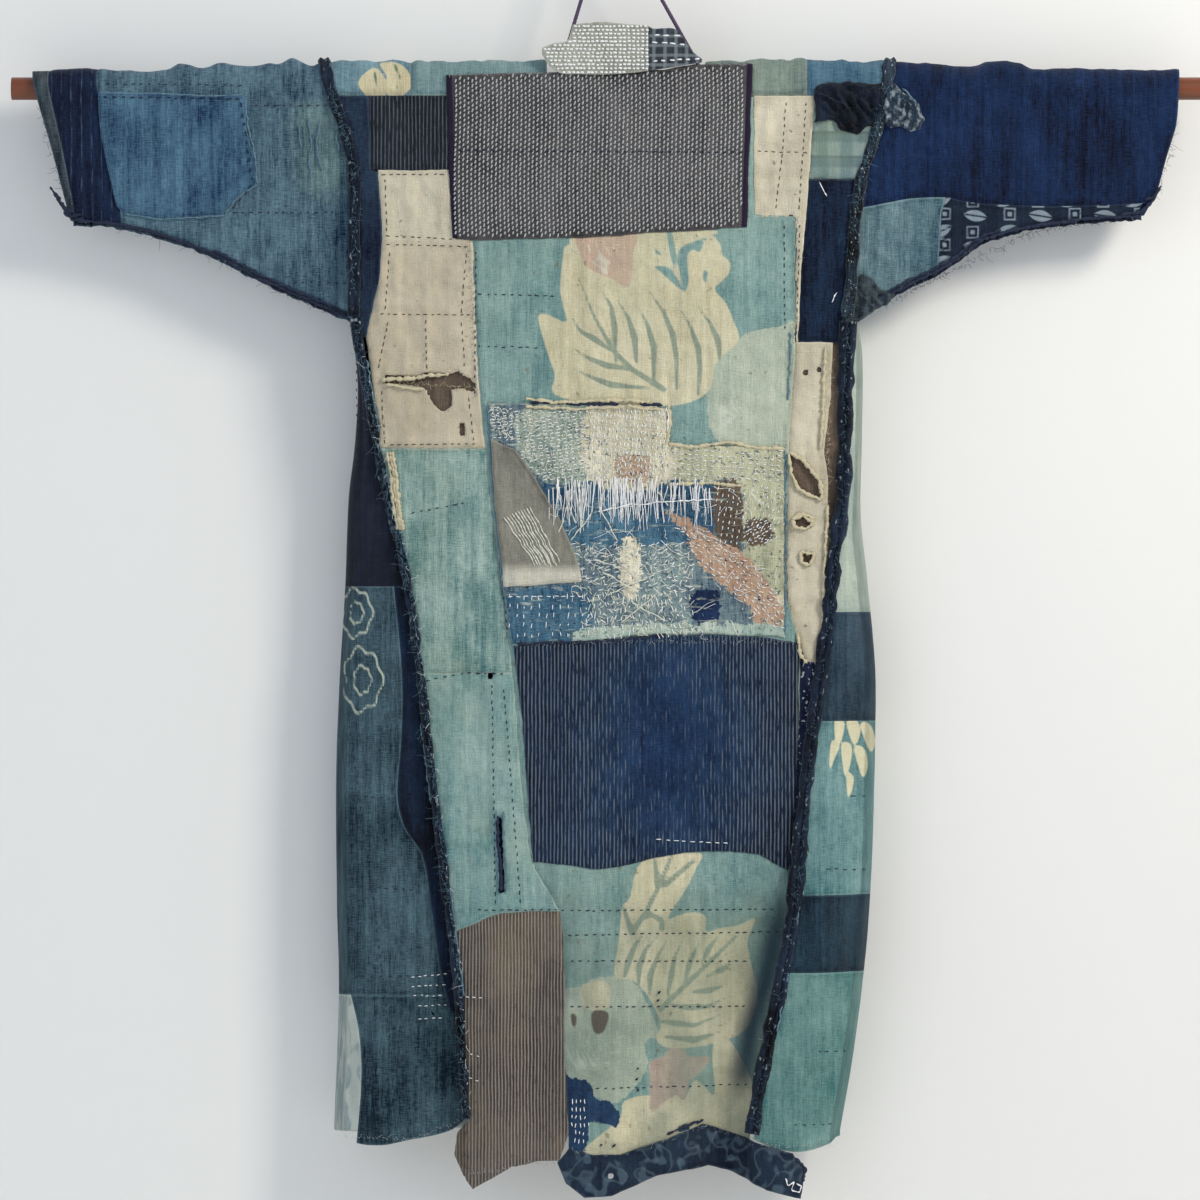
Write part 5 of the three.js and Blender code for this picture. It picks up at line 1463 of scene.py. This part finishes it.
cuff_slate = Cotton("cuff_slate", "263038", "5a666c", 0.45, 1.5, 1.0)
sleeve_piece("sleeve_left_cuff", cuff_slate, sleeve_l_place, lambda r: 0 * r, cuff_end, "slate", -1)
band_navy = Cotton("band_navy", "0d1830", "233b5e", 0.3, 1.4, 0.9)
band_navy.print(band_navy.stripe(0.011, 0.12, 0.45), "7888a0", strength=0.4)
sleeve_piece("sleeve_left_band", band_navy, sleeve_l_place, cuff_end, band_end, "navy", -1)
sleeve_blue = Cotton("sleeve_blue", "223c50", "6a8894", 0.45, 1.7, 1.3)
sleeve_blue.mark("worn", 26.0, 30.0, "4b676a", "87a096", 0.6)
sleeve_piece("sleeve_left", sleeve_blue, sleeve_l_place, band_end, lambda r: 1 + 0 * r, "indigo", -1,
             values={"worn": blot([(-352, -30), (-305, -28), (-292, -110), (-340, -112)])})
patch_blue = Cotton("patch_blue", "1a3a57", "5d8399", 0.45, 1.5, 1.3)
x, z = panel(
    [(-566, -5), (-500, -6), (-440, -9), (-408, -7)], [(-402, -15), (-402, -50), (-394, -75)],
    [(-553, -100), (-547, -130), (-540, -137), (-500, -145), (-430, -141), (-415, -122), (-391, -108)],
    [(-566, -30), (-562, -60)], 2.8,
)
edge = border(x, 0 * x, z)
cloth("sleeve_left_patch", patch_blue, x, skin(x, z, LAYER + sewn_rim(edge))[..., 1], z, "faded")

navy_sleeve = Cotton("navy_sleeve", "060f26", "1b355f", 0.4, 1.6, 0.9)
panel_foot = curve([(0, -0.93), (0.3, -0.91), (0.55, -0.83), (0.71, -0.7), (1, -0.64)])
sleeve_piece("sleeve_right", navy_sleeve, sleeve_r_place, lambda r: 0 * r, lambda r: 1 + 0 * r, "navy", 1,
             foot=panel_foot)


def lower_piece(name, cotton, first, last, slot, values=None):
    """A cloth that finishes the right sleeve's back below its navy panel."""
    s = np.linspace(last, first, max(8, int((last - first) * 320 / 1.8)))[None]
    u = mix(panel_foot(s), -1, np.linspace(0, 1, 34)[:, None])
    x, y, z = sleeve_r_place(s, u)
    cloth(name, cotton, x, y - relief(x, z), z, slot, values=values)


kasuri = Cotton("kasuri", "101a2a", "2c3b50", 0.35, 1.0, 0.9)
kasuri.mark("ring", 1.2, 1.2, "8d9ba6", strength=0.85)


def petals_and_squares(x, z):
    """Woven marks in a staggered grid: petals with a dark vein, and small squares between them."""
    best = np.full(x.shape, OUTSIDE)
    for dx, dz, tilt in ((0, 0, -0.15), (34, -17, 0.45)):
        px, pz = (x - 401 - dx + 36) % 72 - 36, (z + 141 - dz + 17) % 34 - 17
        px, pz = px * math.cos(tilt) + pz * math.sin(tilt), pz * math.cos(tilt) - px * math.sin(tilt)
        lens = 6.2 * (1 - (px / 14) ** 2) - np.abs(pz)
        best = np.maximum(best, np.minimum(lens, np.abs(pz) - 0.9))
    for dx, dz in ((38, 2), (-3, -18)):
        px, pz = (x - 401 - dx + 36) % 72 - 36, (z + 141 - dz + 17) % 34 - 17
        square = np.maximum(np.abs(px), np.abs(pz))
        best = np.maximum(best, np.maximum(0.8 - np.abs(square - 6), 2.4 - square))
    return best


lower_piece("sleeve_right_motif", kasuri, 0.03, 0.71, "ink", values={"ring": petals_and_squares})
square_blue = Cotton("square_blue", "34525f", "7a949a", 0.45, 1.5, 1.2)
lower_piece("sleeve_right_square", square_blue, 0.71, 1.0, "faded")

# ------------------------------------------------------------------ raw seams

RIDGE = 8.5  # mm that the lips stand off the cloth
SECTION = np.array([
    (-1.5, 0), (-1.3, 0.35), (-0.9, 0.75), (-0.55, 1), (-0.3, 0.5), (0, 0.3), (0.3, 0.55), (0.6, 0.95),
    (1, 0.7), (1.3, 0.3), (1.5, 0),
])


def seam_line(seam, top, foot, count, aside=0):
    """Points down a side seam, or that far beside it."""
    z = np.linspace(top, foot, count)
    return np.stack([seam(z) + aside, z], 1)


def ridge(name, cotton, seam, near, foot, half):
    """The raw edges of a side seam as two frilled lips over it: the section runs up one lip, down into
    the gap and over the other."""
    line = seam_line(seam, -258, foot, 60)
    points = spaced(line, int(length_of(line) / 2.2))
    run = np.arange(len(points)) * 2.2
    along = unit(np.gradient(points, axis=0))
    left = np.stack([-along[:, 1], along[:, 0]], 1)
    across, rise = SECTION.T[:, None]
    sway = 3.2 * (cloud(run, 3, 16) - 0.5) + 1.8 * (cloud(run, 40, 6) - 0.5)
    high = RIDGE * (0.62 + 0.5 * cloud(run, 77, 9) + 0.25 * (cloud(run, 99, 4) - 0.5))
    wide = half * (0.75 + 0.6 * cloud(run, 120, 13))
    off = across * wide[:, None] + sway[:, None] * rise
    jag = 1 + 0.3 * (cloud(run[:, None] + 0 * off, 30 * across + 0 * off, 5) - 0.5)
    x = points[:, 0:1] - left[:, 0:1] * off
    z = points[:, 1:2] - left[:, 1:2] * off
    down = points[:, 1:2]
    base = np.maximum(back_depth(seam(down), down), near(seam(down), down)) - 3
    y = -(base + high[:, None] * rise * jag)
    cloth(name, cotton, x, y, z, "ink", ending="_raw", held="gathered", thick=0.9, uv=(off, z))


raw_navy = Cotton("raw_navy", "0a101d", "2c3c54", 0.35, 1.3, 1.2, bump=1.0)
raw_navy.specks((300, 110), 0.66, 0.72, 1.0, "9aa8ac", strength=0.7)
raw_blue = Cotton("raw_blue", "0f1826", "43586c", 0.4, 1.4, 1.3, bump=1.0)
raw_blue.specks((420, 240), 0.66, 0.7, 1.0, "c0c6be", strength=0.7)


ridge("seam_side_left", raw_navy, left_seam, left_near, -1134, 2.8)
ridge("seam_side_right", raw_navy, right_seam, right_near, -1150, 5)


def armhole_ridge(name, seam, cotton):
    """Round an armhole: up the wall's side, over the shoulder and down the back."""
    z_up = np.linspace(ARMPIT + 2, 0, 70)
    angle = np.linspace(np.pi / 2, -np.pi / 2, 26)[1:-1]
    z = np.concatenate([z_up, SHOULDER * np.cos(angle), z_up[::-1]])
    y = np.concatenate([front_lift(z_up), FOLD * np.sin(angle), -belly(z_up[::-1])])
    out_y = np.concatenate([z_up * 0 + 1, np.sin(angle), z_up * 0 - 1])
    out_z = np.concatenate([z_up * 0, np.cos(angle), z_up * 0])
    run = np.arange(len(z)) * 3.6
    across, rise = np.array([
        (-5, 0), (-4.2, 0.5), (-3, 0.9), (-1.5, 0.75), (0, 0.4), (1.4, 0.7), (3, 1), (4.2, 0.55), (5, 0),
    ]).T[:, None]
    high = 5.5 * (0.6 + 0.6 * cloud(run, 11, 9))[:, None] * rise
    wide = (1.0 + 0.7 * cloud(run, 55, 12))[:, None] * across + (2.4 * (cloud(run, 70, 14) - 0.5))[:, None]
    x = seam(z)[:, None] + wide
    y = y[:, None] + out_y[:, None] * (high - 0.5)
    z = z[:, None] + out_z[:, None] * (high - 0.5)
    uv = (x, run[:, None] + 0 * x)
    cloth(name, cotton, x, y, z, "ink", ending="_raw", held="gathered", thick=0.9, uv=uv)


armhole_ridge("seam_armhole_left", left_seam, raw_navy)
armhole_ridge("seam_armhole_right", right_seam, raw_blue)


def hanging_seam(name, place, direction, cotton):
    """Under a sleeve the raw edges hang between its two layers, with a frayed lower edge."""
    s = np.linspace(0.01, 0.99, 130)
    x, _, z = place(s, s * 0 - 1)
    drop = np.array([6, 2, -2, -5])[:, None]
    ragged = 2.5 * (cloud(x, 5, 7) - 0.4) + 1.5 * (cloud(x, 9, 3) - 0.5)
    z = z[None] + drop + ragged[None] * np.array([0, 0.2, 0.6, 1])[:, None]
    y = 1.6 * (cloud(x, 20, 12) - 0.5)[None] + 0 * z - 1.0
    x = x[None] + 0 * z
    if direction > 0:
        x, y, z = x[:, ::-1], y[:, ::-1], z[:, ::-1]
    cloth(name, cotton, x, y, z, "ink", ending="_raw", thick=1.6)


hanging_seam("seam_sleeve_left", sleeve_l_place, -1, raw_blue)
hanging_seam("seam_sleeve_right", sleeve_r_place, 1, raw_navy)

# ------------------------------------------------------------------ collar behind the neck

collar_foot = curve([(-78, 38), (-70, 24), (-56, 15), (-35, 14), (0, 14), (35, 17), (100, 27)])
collar_top = curve([(-78, 43), (-62, 49), (-48, 53), (-43, 70), (38, 69), (46, 65), (72, 63), (86, 42),
                    (100, 30)])


def collar_skin(x, z, lift=0.0):
    rough_up = 1.2 * (cloud(x, z, 12) - 0.5) + 0.8 * (cloud(x, z, 5) - 0.5)
    return -(FOLD + 4.8 + lift + rough_up - 0.3 * np.maximum(0, z - 30))


def collar_piece(name, cotton, x_from, x_to, slot):
    x = np.linspace(x_from, x_to, int((x_to - x_from) / 2.2))[None]
    t = np.linspace(1, 0, 26)[:, None]
    z = mix(collar_foot(x), collar_top(x) + 1.8 * (cloud(x, 3, 6) - 0.5), t)
    x = x + 0 * z
    cloth(name, cotton, x, collar_skin(x, z), z, slot)


collar_ground = Cotton("collar_ground", "84867e", "b8b8aa", 0.5, 1.2, 1.0)
collar_piece("collar_back_stitched", collar_ground, -77, 40, "off_white")
collar_check = Cotton("collar_check", "232a33", "4a535b", 0.45, 1.1, 0.9)
collar_check.print(collar_check.stripe(0.012, 0.3, 0.05), "7f888c", strength=0.6)
collar_check.print(collar_check.stripe(0.011, 0.3, 0.05, turned=True), "7f888c", strength=0.6)
collar_piece("collar_back_plaid", collar_check, 40, 99, "slate")

rows = []
for k in range(14):
    height = 16 + 4.3 * k
    xs = np.arange(-76, 42, 1.0)
    held_by = xs[(collar_foot(xs) < height - 1) & (collar_top(xs) > height + 1)]
    if len(held_by) > 8:
        shift = 2.3 * (k % 2)
        rows.append(running([(held_by[0] + shift, height), (held_by[-1], height)], 3.9, 0.9, 0.3))
sew_on(collar_skin, "collar_stitches", WHITE_THREAD, rows, 0.7, 1.15)
sew_on(collar_skin, "collar_long_stitches", WHITE_THREAD, [
    running([(44, 58), (76, 57)], 6, 3), running([(42, 50), (82, 47)], 6, 3),
    running([(42, 28), (98, 31)], 6, 3),
], 0.9, 0.9)

# ------------------------------------------------------------------ stitches

patch_top = curve(SASHIKO_TOP)
patch_foot = curve(SASHIKO_FOOT)
column, row = np.meshgrid(np.arange(72), np.arange(36), indexing="ij")
upright = np.stack([-172.5 + 4.5 * column + 0.8 * np.sin(row / 5), 23 - 5.4 * row - 2.7 * (column % 2)],
                   -1).reshape(-1, 2)
room_above, room_below = patch_top(upright[:, 0]) - upright[:, 1], upright[:, 1] - patch_foot(upright[:, 0])
upright = upright[(room_above > 3) & (room_below > 3) & (upright[:, 0] < 146 + 0.03 * upright[:, 1])]
lean = np.array([0.7, 2.1]) * chance.uniform(0.85, 1.2, (len(upright), 1))
upright = np.stack([upright - lean, upright + lean], 1) + chance.normal(0, 0.2, (len(upright), 2, 2))
sew("sashiko_dashes", GREY_THREAD, [upright], 2.6, 0.95, slot="grey")


def rows_in(outline, turn, pitch, stitch, gap, wobble=0.5, keep=0.9):
    """Rows of running stitches at an angle in degrees that fill an outline."""
    outline = np.array(outline, float)
    centre, size = outline.mean(0), np.ptp(outline, axis=0).max()
    turn = math.radians(turn)
    way = np.array([math.cos(turn), math.sin(turn)])
    aside = np.array([-way[1], way[0]])
    runs = []
    for k in np.arange(-size, size, pitch):
        middle = centre + aside * k
        runs.append(running([middle - way * size, middle + way * size], stitch, gap, wobble, keep))
    runs = np.concatenate(runs)
    return runs[inside(*runs.mean(1).T, outline) > 0.5]


def scattered(outline, count, stitch):
    """Short stitches that lie every way inside an outline."""
    outline = np.array(outline, float)
    low, high = outline.min(0), outline.max(0)
    middle = chance.uniform(low, high, (count, 2))
    middle = middle[inside(*middle.T, outline) > 1.5]
    turn = chance.uniform(0, np.pi, len(middle))
    half = stitch * chance.uniform(0.35, 0.6, (len(middle), 1)) * np.stack([np.cos(turn), np.sin(turn)], 1)
    return np.stack([middle - half, middle + half], 1)


corner_block = [(-137, -350), (-100, -356), (-100, -392), (-134, -386)]
grey_block = [(-100, -356), (-25, -354), (-25, -430), (-75, -434), (-100, -410)]
cream_block = [(-25, -354), (62, -354), (62, -436), (-25, -434)]
top_block = [(62, -398), (190, -400), (190, -436), (62, -434)]
foot_block = [(-118, -556), (-30, -552), (-30, -610), (-112, -612)]
fine = [
    scattered(corner_block, 150, 4.0),
    scattered(grey_block, 520, 4.6),
    scattered(cream_block, 700, 4.6),
    scattered(top_block, 230, 4.6),
    scattered([(-60, -500), (90, -502), (90, -606), (-30, -606)], 420, 8.0),
    scattered([(60, -470), (150, -520), (188, -560), (190, -604), (150, -590), (95, -530)], 160, 4.6),
]
sew("boro_fine_stitches", PALE_THREAD, fine, 2.8, 0.4, slot="off_white")
whole = [(-130, -356), (188, -400), (186, -604), (-108, -606)]
sew("boro_worn_stitches", BLUE_THREAD, [scattered(whole, 900, 4.4)], 2.75, 0.42, slot="faded")
sew("boro_dark_stitches", DARK_THREAD, [scattered(whole, 300, 4.0)], 2.8, 0.4, slot="ink")
white = [
    rows_in(corner_block, 5, 3.4, 4.2, 2.2),
    rows_in(grey_block, 8, 3.8, 4.5, 2.4),
    rows_in(cream_block, 84, 4.4, 4.5, 3.0),
    rows_in(top_block, -4, 5.5, 4.5, 3.5),
    rows_in([(142, -438), (190, -438), (190, -500), (142, -500)], 60, 6, 4, 4),
    rows_in([(-60, -500), (90, -502), (90, -556), (-30, -556)], 20, 5.0, 5.0, 3.4, 1.4),
    rows_in([(-30, -556), (90, -556), (90, -606), (-30, -606)], 100, 5.2, 5.5, 3.2, 1.6),
    rows_in([(60, -470), (150, -520), (185, -560), (190, -604), (150, -572), (95, -524)], -40, 5.0, 4.2, 3.0,
            0.9),
    rows_in(foot_block, 90, 8, 5, 5, 0.6, 0.7),
    rows_in([(146, -476), (174, -474), (176, -502), (148, -504)], 30, 3.6, 3.2, 1.8),
    rows_in([(112, -440), (140, -438), (142, -505), (118, -506)], 80, 6, 4, 3),
]
edges = [(-115, -561), (-32, -561)], [(48, -827), (80, -830), (128, -832)]
white += [running(line, 5.5, 2.6, 0.3) for line in edges]
sew("boro_stitches", WHITE_THREAD, white, 2.9, 0.5)
sew("boro_blue_stitches", BLUE_THREAD, [
    rows_in([(-60, -436), (112, -440), (112, -500), (-40, -504)], 88, 6, 6, 3, 0.7, 0.6),
    rows_in(foot_block, 0, 6, 6, 4, 0.5, 0.8),
], 2.7, 0.6, slot="faded")
sew("sleeve_patch_rows", DARK_THREAD, [
    running([(-562, -11), (-408, -13)], 5.0, 4.4, 0.5),
    running([(-409, -16), (-396, -106), (-420, -136)], 5.0, 4.4, 0.5),
], 3.6, 0.8, slot="ink")
sew("patch_row", DARK_THREAD, [running([(-170, -70), (146, -72)], 4.4, 4.0, 0.4)], 3.6, 0.8,
    slot="ink")

brown_rows = [
    [(-256, -96), (-158, -96)], [(-250, -98), (-248, -160)], [(-250, -164), (-156, -168)],
    [(-250, -173), (-156, -176)], [(-245, -180), (-250, -248)], [(-258, -250), (-154, -251)],
    [(-246, -256), (-258, -312)], [(-160, -180), (-166, -250)], [(-166, -256), (-162, -310)],
    [(-254, -332), (-250, -394)], [(-246, -394), (-148, -393)], [(-158, -340), (-152, -392)],
    [(192, -14), (188, -70), (180, -136)], [(214, -14), (206, -136)], [(158, -70), (216, -72)],
    [(207, -150), (203, -275)], [(-205, -255), (-204, -312)],
]
sew("quilting_brown", BROWN_THREAD, [running(line, 4.6, 3.4, 0.3) for line in brown_rows], 0.4,
    0.5, slot="brown")
dark_rows = [
    [(-150, -905), (180, -905)], [(-50, -932), (185, -930)], [(-48, -1010), (150, -1012)],
    [(-48, -960), (150, -962)], [(-45, -1100), (150, -1098)], [(-150, -178), (-151, -340)],
    [(-224, -470), (-160, -458)], [(-132, -430), (-115, -600)], [(-206, -654), (-160, -645), (-116, -646)],
    [(-119, -660), (-100, -900)], [(-132, -655), (-128, -900)], [(-150, -228), (-60, -230)],
    [(-150, -285), (-80, -287)], [(190, -150), (190, -270)], [(205, -905), (160, -1120)],
]
sew("quilting_dark", DARK_THREAD, [running(line, 4.2, 4.2, 0.35) for line in dark_rows], 0.4, 0.6,
    slot="ink")
sleeve_rows = [
    [(-560, 4), (-404, 2)], [(-395, -20), (-310, -20)], [(-420, -138), (-285, -138)],
    [(-355, -215), (-290, -215)],
]
sew("quilting_sleeve", DARK_THREAD, [running(line, 4.2, 4.6, 0.35) for line in sleeve_rows], 2.0,
    0.65, slot="ink")
side_rows = [
    [(-290, -700), (-262, -900), (-243, -1060), (-238, -1150)], [(-282, -300), (-280, -540)],
    [(-285, -780), (-240, -784)], [(-290, -880), (-215, -884)], [(-288, -980), (-200, -978)],
    [(-276, -1080), (-180, -1078)], [(258, -781), (284, -781)], [(222, -1060), (262, -1062)],
    [(232, -860), (282, -862)], [(196, -1140), (246, -1142)],
]
sew("quilting_side", DARK_THREAD, [running(line, 4.0, 5.0, 0.35) for line in side_rows], 0.5, 0.5,
    slot="ink")
pale_rows = [
    [(-222, -980), (-180, -976)], [(-222, -990), (-182, -988)], [(-220, -1000), (-186, -1000)],
    [(-214, -1012), (-180, -1010)], [(-216, -1026), (-184, -1024)], [(-164, -1000), (-140, -1002)],
    [(-166, -1060), (-144, -1066)], [(-168, -1085), (-144, -1094)],
]
corner = rows_in([(-48, -1106), (-28, -1108), (-22, -1160), (-43, -1166)], 88, 4.6, 5.0, 3.2)
sew("white_dashes", WHITE_THREAD, [running(line, 3.6, 3.0, 0.4) for line in pale_rows] + [corner], 0.9,
    0.5)


def front_skin(x, z, lift=0.0):
    return front_depth(x, z) + 0.6 * relief(x, z) + lift


sides = (-1, 1)
sew_on(front_skin, "quilting_front", DARK_THREAD, [
    running([(side * a, b), (side * c, d)], 4.4, 4.2, 0.5)
    for side in sides for a, b, c, d in (
        (232, -60, 92, -62), (230, -150, 76, -152), (226, -226, 64, -228), (160, -20, 158, -250),
        (98, -300, 96, -1130), (60, -300, 58, -1130), (96, -420, 16, -420), (98, -560, 14, -562),
        (98, -700, 14, -700), (98, -860, 14, -858), (98, -1010, 14, -1012), (150, -300, 148, -1120),
        (206, -320, 202, -1110),
    )
], 0.6, 0.6, "ink")
sew_on(front_skin, "collar_front_stitches", PALE_THREAD, [
    running([(side * (74 - k * 7), -14 - 5 * k), (side * (48 - k * 7), -196 + 3 * k),
             (side * (46 - k * 7), -496)], 4.0, 3.6, 0.4)
    for side in sides for k in (0, 2, 4)
], 0.6, 0.5)

# ------------------------------------------------------------------ frayed edges and loose threads

fray("fray_left_seam", BLUE_THREAD, [seam_line(left_seam, -262, -1130, 80)], 1.2, 8, lift=7, slot="faded")
fray("fray_right_seam", BLUE_THREAD, [seam_line(right_seam, -262, -1145, 80)], 3.0, 6, lift=5, slot="faded")
fray("fray_seam_white", WHITE_THREAD, [
    seam_line(left_seam, -270, -1120, 60, 4), seam_line(right_seam, -620, -1140, 60, -4),
], 13.0, 6, lift=6)
fray("fray_armholes", BLUE_THREAD, [
    seam_line(seam, 0, ARMPIT, 40) for seam in (left_seam, right_seam)
], 1.4, 8, lift=4, slot="faded")
fray("fray_patch_blue", BLUE_THREAD, [
    [(-137, -348), (-60, -356), (58, -352)], [(190, -398), (190, -600)], [(-110, -613), (190, -604)],
    [(-137, -348), (-112, -610)], [(203, -142), (202, -280)], [(-157, -172), (-149, -340)],
], 2.4, 5, lift=1.6, slot="faded")
fray("fray_cream", CREAM_THREAD, [
    [(202, -285), (194, -400), (194, -560), (207, -610), (214, -632)],
    [(242, -290), (236, -440), (238, -560), (230, -630)], [(-256, -325), (-150, -330)],
    [(-252, -400), (-145, -398)], [(60, -352), (62, -396)],
], 2.4, 5, lift=1.2, slot="cream")
count = 150
x = chance.choice([-50, -30, 5, 22, 30, 70, 92], count) + chance.normal(0, 13, count)
starts = skin(x, chance.uniform(-446, -428, count), 4)
ways = np.stack([chance.normal(0, 0.09, count), np.full(count, -0.04), np.full(count, -1)], 1)
strands("hanging_threads", WHITE_THREAD, starts, ways, 42, radius=0.6, curl=0.05)
count = 70
x = chance.uniform(-60, 180, count)
starts = skin(x, chance.uniform(-600, -430, count), 3.6)
ways = np.stack([chance.normal(0, 1, count), np.full(count, -0.05), chance.normal(0, 1, count)], 1)
strands("stray_threads", WHITE_THREAD, starts, ways, 20, radius=0.42, curl=0.5)


def rolls(name, material, lines, radius, lift, slot="off_white"):
    """Torn edges that have rolled up: uneven cords of cloth along lines on the back's side."""
    points, faces, first = [], [], 0
    for line in lines:
        path = spaced(line, max(4, int(length_of(line) / 2)))
        path = path + np.stack([cloud(path[:, 1], 31, 5), cloud(path[:, 0], 57, 5)], 1) * 2.4 - 1.2
        path = skin(*path.T, lift)
        count = len(path)
        wide = radius * (0.45 + 1.1 * chance.random(count))[:, None, None]
        wide[[0, -1]] *= 0.15
        aside = unit(np.cross(np.gradient(path, axis=0), np.array([0, 1.0, 0])))
        angle = (np.arange(6) * np.pi / 3)[None, :, None]
        around = aside[:, None] * np.cos(angle) + np.array([0, -1.0, 0]) * np.sin(angle)
        points.append((path[:, None] + wide * around).reshape(-1, 3))
        i, j = np.meshgrid(np.arange(count - 1), np.arange(6), indexing="ij")
        quad = np.stack([i * 6 + j, i * 6 + (j + 1) % 6, (i + 1) * 6 + (j + 1) % 6, (i + 1) * 6 + j], -1)
        faces.append(quad.reshape(-1, 4) + first)
        first += count * 6
    make_mesh(name, np.concatenate(points), np.concatenate(faces), material, slot)


rolls("rolled_cream", CREAM_THREAD, [
    [(-95, -343), (-60, -348), (0, -345), (42, -346)], [(-95, -352), (-40, -355), (20, -352), (56, -356)],
    [(62, -350), (64, -372), (60, -396)], [(62, -393), (90, -397), (128, -391), (160, -398), (190, -398)],
    [(62, -438), (110, -436), (142, -440)], [(235, -285), (233, -340), (230, -400)],
    [(238, -460), (234, -520), (232, -600)], [(196, -402), (212, -412), (228, -434), (232, -448)],
    [(197, -476), (210, -472), (222, -480)], [(205, -600), (206, -625), (214, -634)],
    [(-254, -323), (-215, -320), (-180, -316)], [(-250, -328), (-207, -333)],
    *[[*hole, hole[0]] for hole in torn_holes[:3]],
    *[[(shift - 247, -402), (shift - 243, -430), (shift - 241, -456), (shift - 236, -488)]
      for shift in (0, 3.4, 6)],
], 1.9, 2.2, "cream")
rolls("long_threads", PALE_THREAD, [
    [(-119 + 3.2 * k, -473 + 1.2 * k), (-84 + 3 * k, -527 + 2 * math.sin(3 * k))] for k in range(10)
] + [
    [(-52, -446), (-40, -480)], [(-44, -446), (-58, -492)], [(-36, -440), (-34, -492)],
    [(-14, -462), (6, -500)], [(-22, -470), (-46, -500)], [(62, -462), (50, -446)],
    [(-10, -534), (28, -556)], [(-6, -560), (38, -540)], [(20, -566), (58, -588)], [(10, -590), (46, -560)],
    [(-22, -520), (12, -530)],
], 0.6, 5.2, "pale")
rolls("rolled_white", WHITE_THREAD, [
    [(-15, -468), (20, -460), (60, -457), (112, -454)], [(228, -105), (232, -112), (236, -120)],
    [(248, -226), (244, -232), (242, -238)],
    [(190, -1198), (194, -1207), (201, -1202), (197, -1212), (205, -1214), (209, -1208), (203, -1204)],
    [(60, -353), (62, -366), (61, -380)],
], 0.6, 4.5)
rolls("rolled_blue", BLUE_THREAD, [
    [(-335, -34), (-331, -60), (-334, -84), (-330, -102)], [(-322, -40), (-326, -62), (-320, -92)],
    [(-345, -40), (-343, -66)], [(-304, -50), (-301, -72)],
    [(-137, -350), (-131, -440), (-121, -540), (-110, -612)], [(190, -400), (192, -500), (190, -600)],
    [(196, -270), (196, -300), (194, -345)],
    [(left_seam(-300) + 6, -300), (left_seam(-380) + 5, -380)],
    [(left_seam(-430) + 5, -430), (left_seam(-520) + 4, -520)],
    [(left_seam(-700) - 6, -700), (left_seam(-790) - 5, -790)],
    [(left_seam(-880) + 5, -880), (left_seam(-1000) + 5, -1000)],
    [(right_seam(-900) + 6, -900), (right_seam(-1040) + 6, -1040)],
    [(-128, -796), (-127, -840), (-124, -888)], [(-120, -796), (-118, -842), (-115, -886)],
    [(-404, -12), (-401, -45), (-393, -76), (-391, -106)],
    [(-391, -108), (-402, -114), (-414, -122), (-428, -140)],
    [(-428, -141), (-470, -143), (-500, -145), (-538, -138)],
    [(-566, -6), (-500, -7), (-440, -10), (-406, -8)], [(320, 0), (332, -14), (341, -30), (338, -44)],
    [(300, -40), (292, -62), (287, -80)],
], 1.0, 1.2, "faded")
rolls("rolled_dark", DARK_THREAD, [
    [(-612, -118), (-604, -132), (-592, -140)], [(-620, -108), (-610, -124), (-598, -142), (-586, -140)],
    [(-606, -136), (-596, -146), (-584, -144)], [(588, -124), (598, -120), (606, -108)],
    [(560, -140), (584, -136), (600, -122)], [(300, 28), (301, 8), (296, -14)],
    [(-312, 28), (-308, 6), (-303, -12)], [(60, -1151), (80, -1142), (100, -1136)],
    [(200, -1176), (212, -1190), (208, -1210)], [(-104, -614), (-60, -612), (0, -610), (60, -603)],
    *[[(x, z), (x + 1.6, z - 1.6)] for x, z in (
        (51, -995), (50, -1004), (27, -1077), (26, -1089), (27, -1101), (-38, -1150), (-12, -1160),
        (2, -1161),
    )],
    [(-90, -347.5), (-66, -348)], [(-52, -349), (-20, -350), (8, -349)], [(30, -349), (56, -351)],
    [(300, -5), (292, -40), (284, -80), (276, -130)], [(-126, -802), (-124, -840), (-121, -884)],
    *[np.stack(place(np.linspace(first, 0.98, 50), np.full(50, -1.0))[::2], 1) + (0, shift)
      for place in (sleeve_l_place, sleeve_r_place) for shift, first in ((0, 0.02), (4, 0.5))],
], 1.7, 1.6, "ink")
fray("fray_cuffs", DARK_THREAD, [
    [(-630, -20), (-618, -70), (-604, -120)], [(618, -40), (610, -90), (596, -124)],
    [(-590, -138), (-460, -176), (-320, -246)], [(560, -142), (460, -160), (380, -200), (300, -240)],
    [(-600, -118), (-588, -140)], [(-600, -118), (-588, -140)],
], 2.0, 7, lift=1.0, slot="ink")
fray("fray_hems", GREY_THREAD, [
    [(-300, -1156), (-220, -1158), (-165, -1136)], [(-165, -1196), (-110, -1186), (-58, -1178)],
    [(155, -1160), (240, -1166)], [(-183, 14), (-60, 15), (60, 19), (155, 26)],
    [(-108, -614), (0, -610), (200, -611)], [(-45, -1168), (60, -1157), (100, -1142), (150, -1158)],
], 3.0, 4, lift=1.6, slot="pale")
